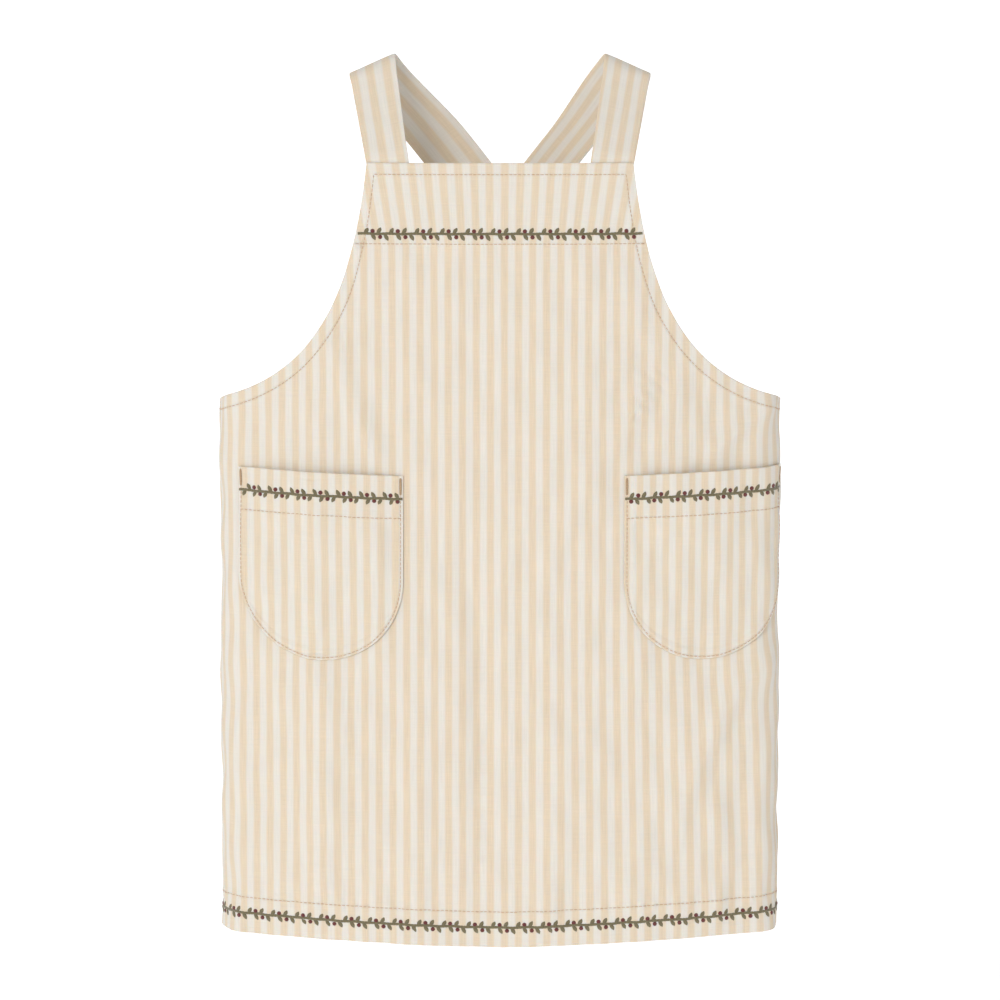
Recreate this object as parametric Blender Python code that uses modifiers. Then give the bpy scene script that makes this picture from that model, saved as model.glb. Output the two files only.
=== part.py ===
"""A child's cross-back apron in striped cotton, open as it hangs from its two shoulder straps.

Metres, +Z up, front towards -Y. The origin is midway between the crests of the two straps, on
their underside, where shoulders, a hanger or a peg carry the apron. Left and right are as seen
from the front. Inside this file heights are measured up from the lowest point of the front hem,
and "along" is the distance along the cloth from the centre front, positive towards +X. The front
and what is sewn to it share one empty, and each back wing has an empty on its side seam, about
which it swings.
"""

import math

import bmesh
import bpy
import numpy as np
from mathutils import Vector

# Plan of the body, at the middle of the cloth: a flat front, a long arc, then a tight side arc.
HALF_WIDTH = 0.1895
FLAT_HALF = 0.030
FRONT_TURN = math.radians(16)
SIDE_RADIUS = 0.024

# Heights: the side seams above the lowest point of the hem, and the rest from there.
SEAM_TOP = 0.3710
BIB_RISE = 0.1635
SHOULDER_RISE = 0.0632
WING_FALL = 0.0190
HEM_RISE = 0.0075
HEM_ROUND = 0.020

# The armhole is one Bezier curve from the bib corner to the side seam, as (along, height).
BIB_HALF = 0.0893
ARMHOLE_LEAVE = (0.0115, -0.1077)
ARMHOLE_ARRIVE = (-0.0690, 0.0122)
ARMHOLE_BEND = 0.1200
ARMHOLE_STEPS = 10

# Thickness of the cloth, and the gaps between plies.
CLOTH = 0.0010
FOLD = 0.0012
STRAP_CLOTH = 0.0016
GAP = 0.0003
SEAM_GAP = 0.00025
INNER_SEAM_GAP = 0.0010
EDGE_INSET = 0.0015

# Turned hems and facings on the inside.
HEM_DEPTH = 0.0255
FACING_DEPTH = 0.0555
EDGE_HEM = 0.0090
WING_EDGE_HEM = 0.0110

# Half of the open back, between the free edges of the two wings.
BACK_OPENING_HALF = 0.0780

# Lengths of the facets along the cloth, on the gentle arcs and round the tight side arcs.
OPEN_FACET = 0.0150
SIDE_FACET = 0.0045
SHORTEST_FACET = 0.0010

# Patch pockets. The cloth hangs turned a little towards +X, which moves both pockets that way.
POCKET_WIDTH = 0.1125
POCKET_HEIGHT = 0.1280
POCKET_SIDE_GAP = 0.0177
POCKET_SHIFT = 0.0093
POCKET_FALL = 0.0460
POCKET_SLANT = 0.0020
POCKET_EASE = 0.0100
POCKET_HEM = 0.0300
POCKET_COLUMNS = 16
POCKET_ROWS = 8

# Shoulder straps, each from the bib over the shoulder to the wing of the other side.
STRAP_BIB_WIDTH = 0.0280
STRAP_WIDTH = 0.0320
STRAP_TUCK = 0.0180
STRAP_STAND = 0.0060
STRAP_CORNER_GAP = 0.0050
STRAP_FRONT_LEAN = math.radians(9.4)
STRAP_BACK_LEAN = math.radians(37.6)
CREST_HALF = 0.0070
CREST_TIGHTNESS = 0.80
CROSSING_PLY = 0.0011
SPLIT_RISE = 0.0055

# Embroidered stems and bar tacks.
STEM_RADIUS = 0.0007
BIB_VINE_DROP = 0.0475
POCKET_VINE_DROP = 0.0155
HEM_VINE_HEIGHT = 0.0135
TACK_WIDTH = 0.0014
TACK_DEPTH = 0.0006
TACK_HEIGHT = 0.0115

COTTON = (0.79, 0.70, 0.57)
STEM_GREEN = (0.13, 0.11, 0.045)
TACK_BROWN = (0.30, 0.17, 0.09)

FRONT_RADIUS = (HALF_WIDTH - FLAT_HALF - SIDE_RADIUS) / math.sin(FRONT_TURN) + SIDE_RADIUS
HALF_DEPTH = FRONT_RADIUS * (1 - math.cos(FRONT_TURN)) + SIDE_RADIUS * math.cos(FRONT_TURN)
FRONT_ARC = FRONT_RADIUS * FRONT_TURN
SIDE_SEAM = FLAT_HALF + FRONT_ARC + SIDE_RADIUS * (math.pi / 2 - FRONT_TURN)
WING_EDGE = 2 * SIDE_SEAM - BACK_OPENING_HALF

BIB_TOP = SEAM_TOP + BIB_RISE
SHOULDER = BIB_TOP + SHOULDER_RISE
WING_CORNER = SEAM_TOP - WING_FALL
HANG_HEIGHT = SHOULDER - STRAP_CLOTH / 2
POCKET_MOUTH = SEAM_TOP - POCKET_FALL
POCKET_CENTRE = SIDE_SEAM - POCKET_SIDE_GAP - POCKET_WIDTH / 2

# Each strap runs straight from the shoulder to its place beside the other wing's free edge.
STRAP_BIB_CENTRE = BIB_HALF - STRAP_BIB_WIDTH / 2
STRAP_END = BACK_OPENING_HALF + STRAP_CORNER_GAP + STRAP_WIDTH / 2 / math.cos(STRAP_BACK_LEAN)
CROSSING = WING_CORNER + STRAP_END / math.tan(STRAP_BACK_LEAN)
STRAP_SPLIT = SEAM_TOP + SPLIT_RISE

SIDES = (("left", -1), ("right", 1))


# The hanging cloth

def cloth_point(along, height, out=0.0):
    """A point on the middle of the cloth, or this far outside it."""
    reach = abs(along)
    behind = reach > SIDE_SEAM
    if behind:
        reach = 2 * SIDE_SEAM - reach
    front_turn = min(max((reach - FLAT_HALF) / FRONT_RADIUS, 0), FRONT_TURN)
    turn = front_turn + max((reach - FLAT_HALF - FRONT_ARC) / SIDE_RADIUS, 0)
    x = min(reach, FLAT_HALF) + (FRONT_RADIUS - SIDE_RADIUS) * math.sin(front_turn)
    x += (SIDE_RADIUS + out) * math.sin(turn)
    depth = HALF_DEPTH - FRONT_RADIUS + (FRONT_RADIUS - SIDE_RADIUS) * math.cos(front_turn)
    depth += (SIDE_RADIUS + out) * math.cos(turn)
    return Vector((math.copysign(x, along), depth if behind else -depth, height))


def plan_depth(x):
    """How far the front or the back of the plan stands from the middle of the body, at this x."""
    swing = max(abs(x) - FLAT_HALF, 0)
    return HALF_DEPTH - FRONT_RADIUS + math.sqrt(FRONT_RADIUS**2 - swing**2)


def inside(plies, thickness):
    """Where the middle of a piece lies that is laid inside the cloth, over these other plies."""
    return -(CLOTH / 2 + sum(ply + GAP for ply in plies) + GAP + thickness / 2)


def outside(thickness):
    return CLOTH / 2 + GAP + thickness / 2


def armhole_point(share, inset=0.0):
    """The armhole edge on the +X side as (along, height), or a line this far inside it."""
    start = np.array((BIB_HALF, BIB_TOP))
    end = np.array((SIDE_SEAM, SEAM_TOP))
    leave = start + ARMHOLE_LEAVE
    arrive = end + ARMHOLE_ARRIVE
    rest = 1 - share
    edge = rest**3 * start + 3 * rest**2 * share * leave
    edge += 3 * rest * share**2 * arrive + share**3 * end
    course = rest**2 * (leave - start) + 2 * rest * share * (arrive - leave) + share**2 * (end - arrive)
    course /= np.linalg.norm(course)
    return edge + inset * np.array((course[1], -course[0]))


def armhole_share(along=None, height=None):
    """How far along the armhole this place is reached, from 0 at the bib to 1 at the seam."""
    low, high = 0.0, 1.0
    for _ in range(40):
        middle = (low + high) / 2
        place = armhole_point(middle)
        short = place[1] > height if along is None else place[0] < along
        low, high = (middle, high) if short else (low, middle)
    return high


def hem_height(along):
    """The bottom edge, which rises a little from the centre front to the side seams."""
    reach = min(abs(along), SIDE_SEAM)
    swing = math.hypot(reach, HEM_ROUND) - HEM_ROUND
    return HEM_RISE * swing / (math.hypot(SIDE_SEAM, HEM_ROUND) - HEM_ROUND)


def wing_top(along):
    share = (abs(along) - SIDE_SEAM) / (WING_EDGE - SIDE_SEAM)
    return SEAM_TOP + share * (WING_CORNER - SEAM_TOP)


def stations(start, end):
    """Distances along the cloth, a few on the flat and the long arc and more round the side."""
    bends = (FLAT_HALF + FRONT_ARC, 2 * SIDE_SEAM - FLAT_HALF - FRONT_ARC)
    found = [start]
    while found[-1] < end:
        ahead = found[-1] + SHORTEST_FACET
        step = SIDE_FACET if bends[0] <= ahead < bends[1] else OPEN_FACET
        stops = [place for place in (FLAT_HALF, *bends, end) if place > ahead]
        found.append(min(found[-1] + step, *stops, end))
    return found


def armhole_shares(first=0.0):
    """Steps down the armhole from this share of it: even ones, then those of the cloth's bends."""
    last = armhole_share(along=ARMHOLE_BEND)
    even = [first + (last - first) * step / ARMHOLE_STEPS for step in range(ARMHOLE_STEPS)]
    return even + [armhole_share(along=along) for along in stations(ARMHOLE_BEND, SIDE_SEAM)]


# Making objects

def principled(name, colour, roughness):
    material = bpy.data.materials.new(name)
    material.use_nodes = True
    shader = material.node_tree.nodes["Principled BSDF"]
    shader.inputs["Base Color"].default_value = (*colour, 1.0)
    shader.inputs["Roughness"].default_value = roughness
    shader.inputs["Metallic"].default_value = 0.0
    material.diffuse_color = (*colour, 1.0)
    return material


class Workroom:
    """Where the pieces go: their collection, the empties that carry them, and their colours."""

    def __init__(self):
        self.collection = bpy.data.collections.new("apron")
        bpy.context.scene.collection.children.link(self.collection)
        self.carriers = {"front": self.carrier("front", 0.0, 0.0)}
        for side, sign in SIDES:
            wing = side + "_wing"
            self.carriers[wing] = self.carrier(wing, sign * HALF_WIDTH, -HANG_HEIGHT)

    def carrier(self, body, x, z):
        empty = bpy.data.objects.new(body + "_carrier", None)
        empty.location = (x, 0.0, z)
        empty.empty_display_size = 0.05
        self.collection.objects.link(empty)
        return empty

    def place(self, name, data, body, colour, roughness=0.9):
        piece = bpy.data.objects.new(name, data)
        data.materials.append(principled(name, colour, roughness))
        self.collection.objects.link(piece)
        piece.parent = self.carriers[body]
        piece.location = Vector((0.0, 0.0, -HANG_HEIGHT)) - piece.parent.location
        return piece

    def sheet(self, name, body, columns, rows, thickness, shape):
        """A grid bent so that each vertex lies at shape(column, row), with Solidify for its plies."""
        grid = bmesh.new()
        bmesh.ops.create_grid(grid, x_segments=columns, y_segments=rows, size=1.0)
        for vertex in grid.verts:
            column = round((vertex.co.x + 1) / 2 * columns)
            row = round((vertex.co.y + 1) / 2 * rows)
            vertex.co = shape(column, row)
        mesh = bpy.data.meshes.new(name)
        grid.to_mesh(mesh)
        grid.free()
        piece = self.place(name, mesh, body, COTTON)
        solidify = piece.modifiers.new("cloth thickness", "SOLIDIFY")
        solidify.thickness = thickness
        solidify.offset = 0.0
        solidify.use_even_offset = True
        return piece

    def strip(self, name, body, sign, places, low, high, out, thickness):
        """A strip between two edges, each given as a height for every distance along the cloth."""
        def shape(column, row):
            along = sign * places[column]
            return cloth_point(along, high(along) if row else low(along), out)
        return self.sheet(name, body, len(places) - 1, 1, thickness, shape)

    def stem(self, name, body, points):
        """The stem of an embroidered vine, as a thin line laid on the cloth."""
        curve = bpy.data.curves.new(name, "CURVE")
        curve.dimensions = "3D"
        spline = curve.splines.new("POLY")
        spline.points.add(len(points) - 1)
        for target, point in zip(spline.points, points):
            target.co = (*point, 1.0)
        curve.bevel_depth = STEM_RADIUS
        curve.bevel_resolution = 1
        curve.use_fill_caps = True
        return self.place(name, curve, body, STEM_GREEN, 0.7)


# Front panel and what is turned in behind it

def make_front_panel(room):
    half = [(along, BIB_TOP) for along in stations(0.0, BIB_HALF)[:-1]]
    half += [tuple(armhole_point(share)) for share in armhole_shares()]
    half[-1] = (SIDE_SEAM - SEAM_GAP, SEAM_TOP)
    edge = [(-along, height) for along, height in reversed(half[1:])] + half

    def shape(column, row):
        along, top = edge[column]
        return cloth_point(along, top if row else hem_height(along))

    room.sheet("front_panel", "front", len(edge) - 1, 1, CLOTH, shape)


def make_bib_facing(room):
    """The deep facing across the inside of the bib, over the tucked ends of the straps."""
    columns, rows = 12, 5
    top = BIB_TOP - EDGE_INSET
    drop = FACING_DEPTH - EDGE_INSET

    def shape(column, row):
        height = top - drop * (1 - row / rows)
        half = armhole_point(armhole_share(height=height))[0] - EDGE_INSET
        return cloth_point(half * (2 * column / columns - 1), height, inside([STRAP_CLOTH], CLOTH))

    room.sheet("bib_facing", "front", columns, rows, CLOTH, shape)


def make_armhole_hem(room, side, sign):
    """The narrow turned edge of the armhole, from under the bib facing to the side seam."""
    edge = armhole_shares(armhole_share(height=BIB_TOP - FACING_DEPTH - EDGE_INSET))
    limit = SIDE_SEAM - INNER_SEAM_GAP

    def shape(column, row):
        along, height = armhole_point(edge[column], EDGE_INSET + (0 if row else EDGE_HEM))
        return cloth_point(sign * min(along, limit), height, inside([], FOLD))

    room.sheet(side + "_armhole_hem", "front", len(edge) - 1, 1, FOLD, shape)


def hem_bottom(along):
    return hem_height(along) + EDGE_INSET


def hem_top(along):
    return hem_height(along) + HEM_DEPTH


def make_front_hem(room):
    """The deep hem turned up on the inside of the skirt."""
    half = stations(0.0, SIDE_SEAM - INNER_SEAM_GAP)
    places = [-along for along in reversed(half[1:])] + half
    room.strip("front_hem_fold", "front", 1, places, hem_bottom, hem_top, inside([], FOLD), FOLD)


# Pockets

def pocket_out(across, depth):
    """How far the pocket stands outside the panel: sewn down at its edges, easy at its mouth."""
    fall = depth / POCKET_HEIGHT
    return outside(CLOTH) + CLOTH / 2 + POCKET_EASE * (1 - across**2) * (1 - fall**2)


def pocket_point(sign, across, depth, out=0.0):
    """A point this far below the pocket's mouth. across runs from -1 to 1 towards +X."""
    along = sign * POCKET_CENTRE + POCKET_SHIFT + across * POCKET_WIDTH / 2
    mouth = POCKET_MOUTH + sign * across * POCKET_SLANT
    return cloth_point(along, mouth - depth, pocket_out(across, depth) + out)


def pocket_columns():
    return [math.sin(math.pi * (step / POCKET_COLUMNS - 0.5)) for step in range(POCKET_COLUMNS + 1)]


def make_pocket(room, side, sign):
    columns = pocket_columns()
    radius = POCKET_WIDTH / 2

    def shape(column, row):
        across = columns[column]
        floor = radius * (1 - math.sqrt(max(1 - across**2, 0)))
        return pocket_point(sign, across, (POCKET_HEIGHT - floor) * (1 - row / POCKET_ROWS))

    room.sheet(side + "_pocket", "front", POCKET_COLUMNS, POCKET_ROWS, CLOTH, shape)


def make_pocket_hem(room, side, sign):
    """The hem turned in behind the mouth. It stops where the pocket lies too close for a ply."""
    columns = [across for across in pocket_columns() if POCKET_EASE * (1 - across**2) > 2 * (CLOTH + GAP)]
    rows = 2

    def shape(column, row):
        depth = EDGE_INSET + (POCKET_HEM - EDGE_INSET) * (1 - row / rows)
        return pocket_point(sign, columns[column], depth, -(CLOTH + GAP))

    room.sheet(side + "_pocket_hem", "front", len(columns) - 1, rows, CLOTH, shape)


def make_tack(room, side, sign, where, end):
    """A bar tack at one end of the pocket's mouth, laid on the pocket."""
    across = end * (1 - 2 * TACK_WIDTH / POCKET_WIDTH)
    depth = EDGE_INSET + TACK_HEIGHT / 2
    lift = outside(TACK_DEPTH)
    centre = pocket_point(sign, across, depth, lift)
    facing = (pocket_point(sign, across, depth) - centre).to_track_quat("Y", "Z")
    block = bmesh.new()
    bmesh.ops.create_cube(block, size=1.0)
    for vertex in block.verts:
        size = Vector((TACK_WIDTH * vertex.co.x, TACK_DEPTH * vertex.co.y, TACK_HEIGHT * vertex.co.z))
        vertex.co = facing @ size + centre
    name = f"{side}_pocket_{where}_tack"
    mesh = bpy.data.meshes.new(name)
    block.to_mesh(mesh)
    block.free()
    room.place(name, mesh, "front", TACK_BROWN)


# Straps

def strap_knots(sign):
    """Corners of the strap's middle line, which rounding cuts, for the strap from the +X side.

    Each is x, y, z, width, the lean of its cross lines, and follow: 1 where the strap lies to the
    front of the plan, -1 where it lies to the back, and 0 at the shoulder.
    """
    fall = math.tan(STRAP_BACK_LEAN)
    crest_x = (SHOULDER - CROSSING) * fall
    crest_lean = (STRAP_FRONT_LEAN + STRAP_BACK_LEAN) / 2
    leg_y = HALF_DEPTH - sign * CROSSING_PLY
    leg_half = STRAP_WIDTH / math.sin(STRAP_BACK_LEAN)

    def front(height, lean):
        rise = (height - BIB_TOP) / (SHOULDER - BIB_TOP)
        share = max(rise, 0)
        x = STRAP_BIB_CENTRE + rise * (crest_x - STRAP_BIB_CENTRE)
        y = -plan_depth(x) - inside([], STRAP_CLOTH)
        width = STRAP_BIB_WIDTH + share * (STRAP_WIDTH - STRAP_BIB_WIDTH)
        return np.array((x, y, height, width, lean, 1 - share))

    def back(height, y, lean):
        follow = -min((SHOULDER - height) / (SHOULDER - CROSSING), 1)
        return np.array(((height - CROSSING) * fall, y, height, STRAP_WIDTH, lean, follow))

    def on_wing(height):
        depth = plan_depth((height - CROSSING) * fall) + inside([FOLD], STRAP_CLOTH)
        return back(height, depth, 0.0)

    brow = front(SHOULDER, crest_lean)
    brow[1] = -CREST_HALF
    nape = back(SHOULDER, CREST_HALF, crest_lean)
    leaves = front(BIB_TOP + STRAP_STAND, STRAP_FRONT_LEAN)
    lands = back(CROSSING + leg_half, leg_y, STRAP_BACK_LEAN)
    return [
        front(BIB_TOP - STRAP_TUCK, 0.0),
        front(BIB_TOP, 0.0),
        leaves,
        leaves + CREST_TIGHTNESS * (brow - leaves),
        brow,
        nape,
        lands + CREST_TIGHTNESS * (nape - lands),
        lands,
        back(CROSSING, leg_y, STRAP_BACK_LEAN),
        back(CROSSING - leg_half, leg_y, STRAP_BACK_LEAN),
        on_wing(STRAP_SPLIT),
        on_wing(WING_CORNER),
        on_wing(WING_CORNER - STRAP_TUCK),
    ]


def rounded(knots, rounds=3):
    """The line through the knots with its corners cut, so that it is smooth and never overshoots."""
    line = np.array(knots)
    for _ in range(rounds):
        near = 0.75 * line[:-1] + 0.25 * line[1:]
        far = 0.25 * line[:-1] + 0.75 * line[1:]
        between = np.stack((near, far), axis=1).reshape(-1, line.shape[1])
        line = np.vstack((line[:1], between[1:-1], line[-1:]))
    return line


def strap_rows(sign, knots):
    """Three points across the strap for each row along it: outer edge, middle, inner edge."""
    course = rounded(knots)
    heading = np.gradient(course[:, :3], axis=0)
    heading /= np.linalg.norm(heading, axis=1)[:, None]
    rows = []
    for (x, y, z, width, lean, follow), ahead in zip(course, heading):
        line = np.array((-math.cos(lean), 0.0, math.sin(lean)))
        half = line * width / 2 / np.linalg.norm(np.cross(line, ahead))
        row = []
        for edge in (-1, 0, 1):
            place = np.array((x, y, z)) + edge * half
            place[1] -= follow * (plan_depth(place[0]) - plan_depth(x))
            row.append(Vector((sign * place[0], place[1], place[2])))
        rows.append(row)
    return rows


def make_strap(room, side, sign, other):
    """The strap in two pieces: the long one hangs with the front, the tail with the far wing."""
    knots = strap_knots(sign)
    split = len(knots) - 3
    tail = knots[split:]
    tail[0] = tail[0] - np.array((0.0, 0.0, 2 * GAP, 0.0, 0.0, 0.0))
    pieces = (
        (side + "_strap", "front", knots[: split + 1]),
        (side + "_strap_tail", other + "_wing", tail),
    )
    for name, body, part in pieces:
        rows = strap_rows(sign, part)
        room.sheet(name, body, 2, len(rows) - 1, STRAP_CLOTH, lambda column, row: rows[row][column])


# Back wings

def make_wing(room, side, sign):
    body = side + "_wing"
    inner = SIDE_SEAM + INNER_SEAM_GAP
    edge = WING_EDGE - EDGE_INSET
    edge_hem = edge - WING_EDGE_HEM
    turned = inside([], FOLD)
    full = stations(SIDE_SEAM + SEAM_GAP, WING_EDGE)
    room.strip(side + "_back_wing", body, sign, full, hem_height, wing_top, 0.0, CLOTH)
    room.strip(
        side + "_wing_top_hem",
        body,
        sign,
        stations(inner, edge_hem - GAP),
        lambda along: wing_top(along) - EDGE_INSET - EDGE_HEM,
        lambda along: wing_top(along) - EDGE_INSET,
        turned,
        FOLD,
    )
    room.strip(
        side + "_wing_edge_hem",
        body,
        sign,
        [edge_hem, edge],
        lambda along: hem_top(along) + GAP,
        lambda along: wing_top(along) - EDGE_INSET,
        turned,
        FOLD,
    )
    room.strip(
        side + "_wing_hem_fold", body, sign, stations(inner, edge), hem_bottom, hem_top, turned, FOLD
    )


# Embroidery

def make_vines(room):
    lift = outside(2 * STEM_RADIUS)
    bib_height = BIB_TOP - BIB_VINE_DROP
    bib_half = armhole_point(armhole_share(height=bib_height))[0] - EDGE_INSET
    steps = 16
    bib = [bib_half * (2 * step / steps - 1) for step in range(steps + 1)]
    room.stem("bib_vine", "front", [cloth_point(along, bib_height, lift) for along in bib])
    reach = 1 - 2 * EDGE_INSET / POCKET_WIDTH
    for side, sign in SIDES:
        line = [pocket_point(sign, reach * across, POCKET_VINE_DROP, lift) for across in pocket_columns()]
        room.stem(side + "_pocket_vine", "front", line)
    half = stations(0.0, SIDE_SEAM - INNER_SEAM_GAP)
    front = [-along for along in reversed(half[1:])] + half
    room.stem("front_hem_vine", "front", [hem_vine_point(along, lift) for along in front])
    for side, sign in SIDES:
        wing = stations(SIDE_SEAM + INNER_SEAM_GAP, WING_EDGE - EDGE_INSET)
        points = [hem_vine_point(sign * along, lift) for along in wing]
        room.stem(side + "_wing_hem_vine", side + "_wing", points)


def hem_vine_point(along, lift):
    return cloth_point(along, hem_height(along) + HEM_VINE_HEIGHT, lift)


def main():
    for old in list(bpy.data.objects):
        bpy.data.objects.remove(old)
    room = Workroom()
    make_front_panel(room)
    make_bib_facing(room)
    make_front_hem(room)
    for side, sign in SIDES:
        make_armhole_hem(room, side, sign)
        make_pocket(room, side, sign)
        make_pocket_hem(room, side, sign)
        make_tack(room, side, sign, "outer", sign)
        make_tack(room, side, sign, "inner", -sign)
        make_strap(room, side, sign, "left" if side == "right" else "right")
        make_wing(room, side, sign)
    make_vines(room)


if __name__ == "__main__":
    main()
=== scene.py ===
"""The looks of a child's cross-back apron: striped cotton, topstitching and embroidered vines.

Metres, +Z up, front towards -Y, in the frame's own axes. Left and right are as seen from the front.
"Along" is the distance along the cloth from the centre front, positive towards +X. Heights are
measured up from the lowest point of the front hem. "Out" is how far a point stands outside the
middle of the cloth.
"""

import math

import bpy
import numpy as np
from bpy.props import FloatProperty, FloatVectorProperty, PointerProperty
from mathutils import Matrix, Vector


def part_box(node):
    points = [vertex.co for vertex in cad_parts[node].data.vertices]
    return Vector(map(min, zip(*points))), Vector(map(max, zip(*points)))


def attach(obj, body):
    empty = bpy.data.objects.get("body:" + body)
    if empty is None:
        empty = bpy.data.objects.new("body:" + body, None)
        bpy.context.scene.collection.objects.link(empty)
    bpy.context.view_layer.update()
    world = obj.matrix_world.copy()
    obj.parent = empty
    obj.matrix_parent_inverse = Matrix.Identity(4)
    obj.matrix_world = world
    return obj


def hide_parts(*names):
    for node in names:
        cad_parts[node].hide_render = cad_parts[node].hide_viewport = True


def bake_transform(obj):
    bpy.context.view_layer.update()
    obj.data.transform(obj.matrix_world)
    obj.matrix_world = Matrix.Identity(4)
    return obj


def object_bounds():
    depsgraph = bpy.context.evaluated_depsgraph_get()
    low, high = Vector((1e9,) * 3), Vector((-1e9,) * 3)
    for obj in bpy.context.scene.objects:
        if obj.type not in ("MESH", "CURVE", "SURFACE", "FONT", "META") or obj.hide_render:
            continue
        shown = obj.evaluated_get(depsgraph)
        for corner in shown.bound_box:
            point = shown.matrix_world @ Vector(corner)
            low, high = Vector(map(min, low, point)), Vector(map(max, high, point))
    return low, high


bl_info = {
    "name": "Cross-back apron",
    "version": (1, 0, 0),
    "blender": (4, 5, 0),
    "location": "3D View > Sidebar > Apron",
    "description": "Makes the cloth, stitching and embroidery of a child's cross-back apron",
    "category": "Add Mesh",
}

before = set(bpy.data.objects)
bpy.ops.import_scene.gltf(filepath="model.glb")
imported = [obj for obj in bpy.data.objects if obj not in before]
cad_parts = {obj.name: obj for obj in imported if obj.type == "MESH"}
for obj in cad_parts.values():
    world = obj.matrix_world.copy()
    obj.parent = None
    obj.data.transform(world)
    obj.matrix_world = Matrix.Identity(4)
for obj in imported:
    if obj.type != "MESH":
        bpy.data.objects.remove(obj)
CAD_BOX = [list(corner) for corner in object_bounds()]

# Plies of cloth, and the gap that the frame keeps between them.
CLOTH = 0.0010
FOLD = 0.0012
STRAP_CLOTH = 0.0016
GAP = 0.0003

# How far apart two plies lie that touch, and how far a turned ply stays inside the edge.
TOUCH = 0.00005
SHY = 0.0002
TURNED = -(CLOTH + FOLD) / 2 - TOUCH

# What the frame says about the size.
PANEL_LOW, PANEL_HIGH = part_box("front_panel")
WING_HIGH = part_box("right_back_wing")[1]
HANG_HEIGHT = -PANEL_LOW.z
HALF_WIDTH = PANEL_HIGH.x - CLOTH / 2
BIB_TOP = PANEL_HIGH.z + HANG_HEIGHT
SEAM_TOP = WING_HIGH.z + HANG_HEIGHT
SHOULDER = HANG_HEIGHT + STRAP_CLOTH / 2

# Plan of the body: a flat front, a long arc, then a tight side arc.
FLAT_HALF = 0.030
FRONT_TURN = math.radians(16)
SIDE_RADIUS = 0.024
FRONT_RADIUS = (HALF_WIDTH - FLAT_HALF - SIDE_RADIUS) / math.sin(FRONT_TURN) + SIDE_RADIUS
HALF_DEPTH = FRONT_RADIUS * (1 - math.cos(FRONT_TURN)) + SIDE_RADIUS * math.cos(FRONT_TURN)
FRONT_ARC = FRONT_RADIUS * FRONT_TURN
SIDE_SEAM = FLAT_HALF + FRONT_ARC + SIDE_RADIUS * (math.pi / 2 - FRONT_TURN)

# The cut of the front and of the wings.
HEM_RISE = 0.0075
HEM_ROUND = 0.020
BIB_HALF = 0.0893
ARMHOLE_LEAVE = (0.0115, -0.1077)
ARMHOLE_ARRIVE = (-0.0690, 0.0122)
WING_FALL = 0.0190
WING_CORNER = SEAM_TOP - WING_FALL
BACK_OPENING_HALF = 0.0780
WING_EDGE = 2 * SIDE_SEAM - BACK_OPENING_HALF
HEM_DEPTH = 0.0255
FACING_DEPTH = 0.0555
EDGE_HEM = 0.0090
WING_EDGE_HEM = 0.0110

# Patch pockets.
POCKET_WIDTH = 0.1125
POCKET_HEIGHT = 0.1280
POCKET_CENTRE = SIDE_SEAM - 0.0177 - POCKET_WIDTH / 2
POCKET_SHIFT = 0.0093
POCKET_MOUTH = SEAM_TOP - 0.0460
POCKET_SLANT = 0.0020
POCKET_EASE = 0.0045
POCKET_HEM = 0.0300

# Bar tacks: from where to where below the mouth, how far from the side, and how big.
TACK_DEPTHS = (0.0012, 0.0130)
TACK_INSET = 0.0014
TACK_HALF = 0.0008
TACK_RISE = 0.0006

# Straps.
STRAP_BIB_WIDTH = 0.0280
STRAP_WIDTH = 0.0320
STRAP_TUCK = 0.0180
STRAP_STAND = 0.0060
STRAP_CORNER_GAP = 0.0050
STRAP_FRONT_LEAN = math.radians(9.4)
STRAP_BACK_LEAN = math.radians(37.6)
CREST_HALF = 0.0070
CREST_TIGHTNESS = 0.80
CROSSING_PLY = 0.0011
STRAP_BIB_CENTRE = BIB_HALF - STRAP_BIB_WIDTH / 2
STRAP_END = BACK_OPENING_HALF + STRAP_CORNER_GAP + STRAP_WIDTH / 2 / math.cos(STRAP_BACK_LEAN)
CROSSING = WING_CORNER + STRAP_END / math.tan(STRAP_BACK_LEAN)
STRAP_SPLIT = SEAM_TOP + 0.0055
STRAP_WAVE = 0.00012

# How much further apart the stripes lie at the top of the bib, and how far they swing at the hem.
BIB_STRIPES_OPEN = 0.115
SKIRT_STRIPES_SWING = 0.0065

# Where the stripes of each pocket lie, from its middle.
POCKET_STRIPES = {"left": -0.0011, "right": 0.0055}

# On each strap: how often its stripes repeat, and where one lies from the middle towards the neck.
STRAP_STRIPES = {"left": (0.0113, -0.0021), "right": (0.0095, -0.0032)}

# How far the outer and inner edges of each strap lie to the +X side of their even course.
STRAP_SWAY = {"left": (0.0, 0.0054), "right": (0.0020, 0.0054)}

# Rows of topstitching, measured in from the edge that each one follows.
BIB_ROW_DROP = 0.0075
ARMHOLE_ROW = (0.0052, 0.0080)
FACING_ROW = BIB_TOP - 0.0543
HEM_ROW = 0.0243
POCKET_ROW = 0.0015
POCKET_HEM_ROW = 0.0288
WING_ROW = 0.0075

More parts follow.
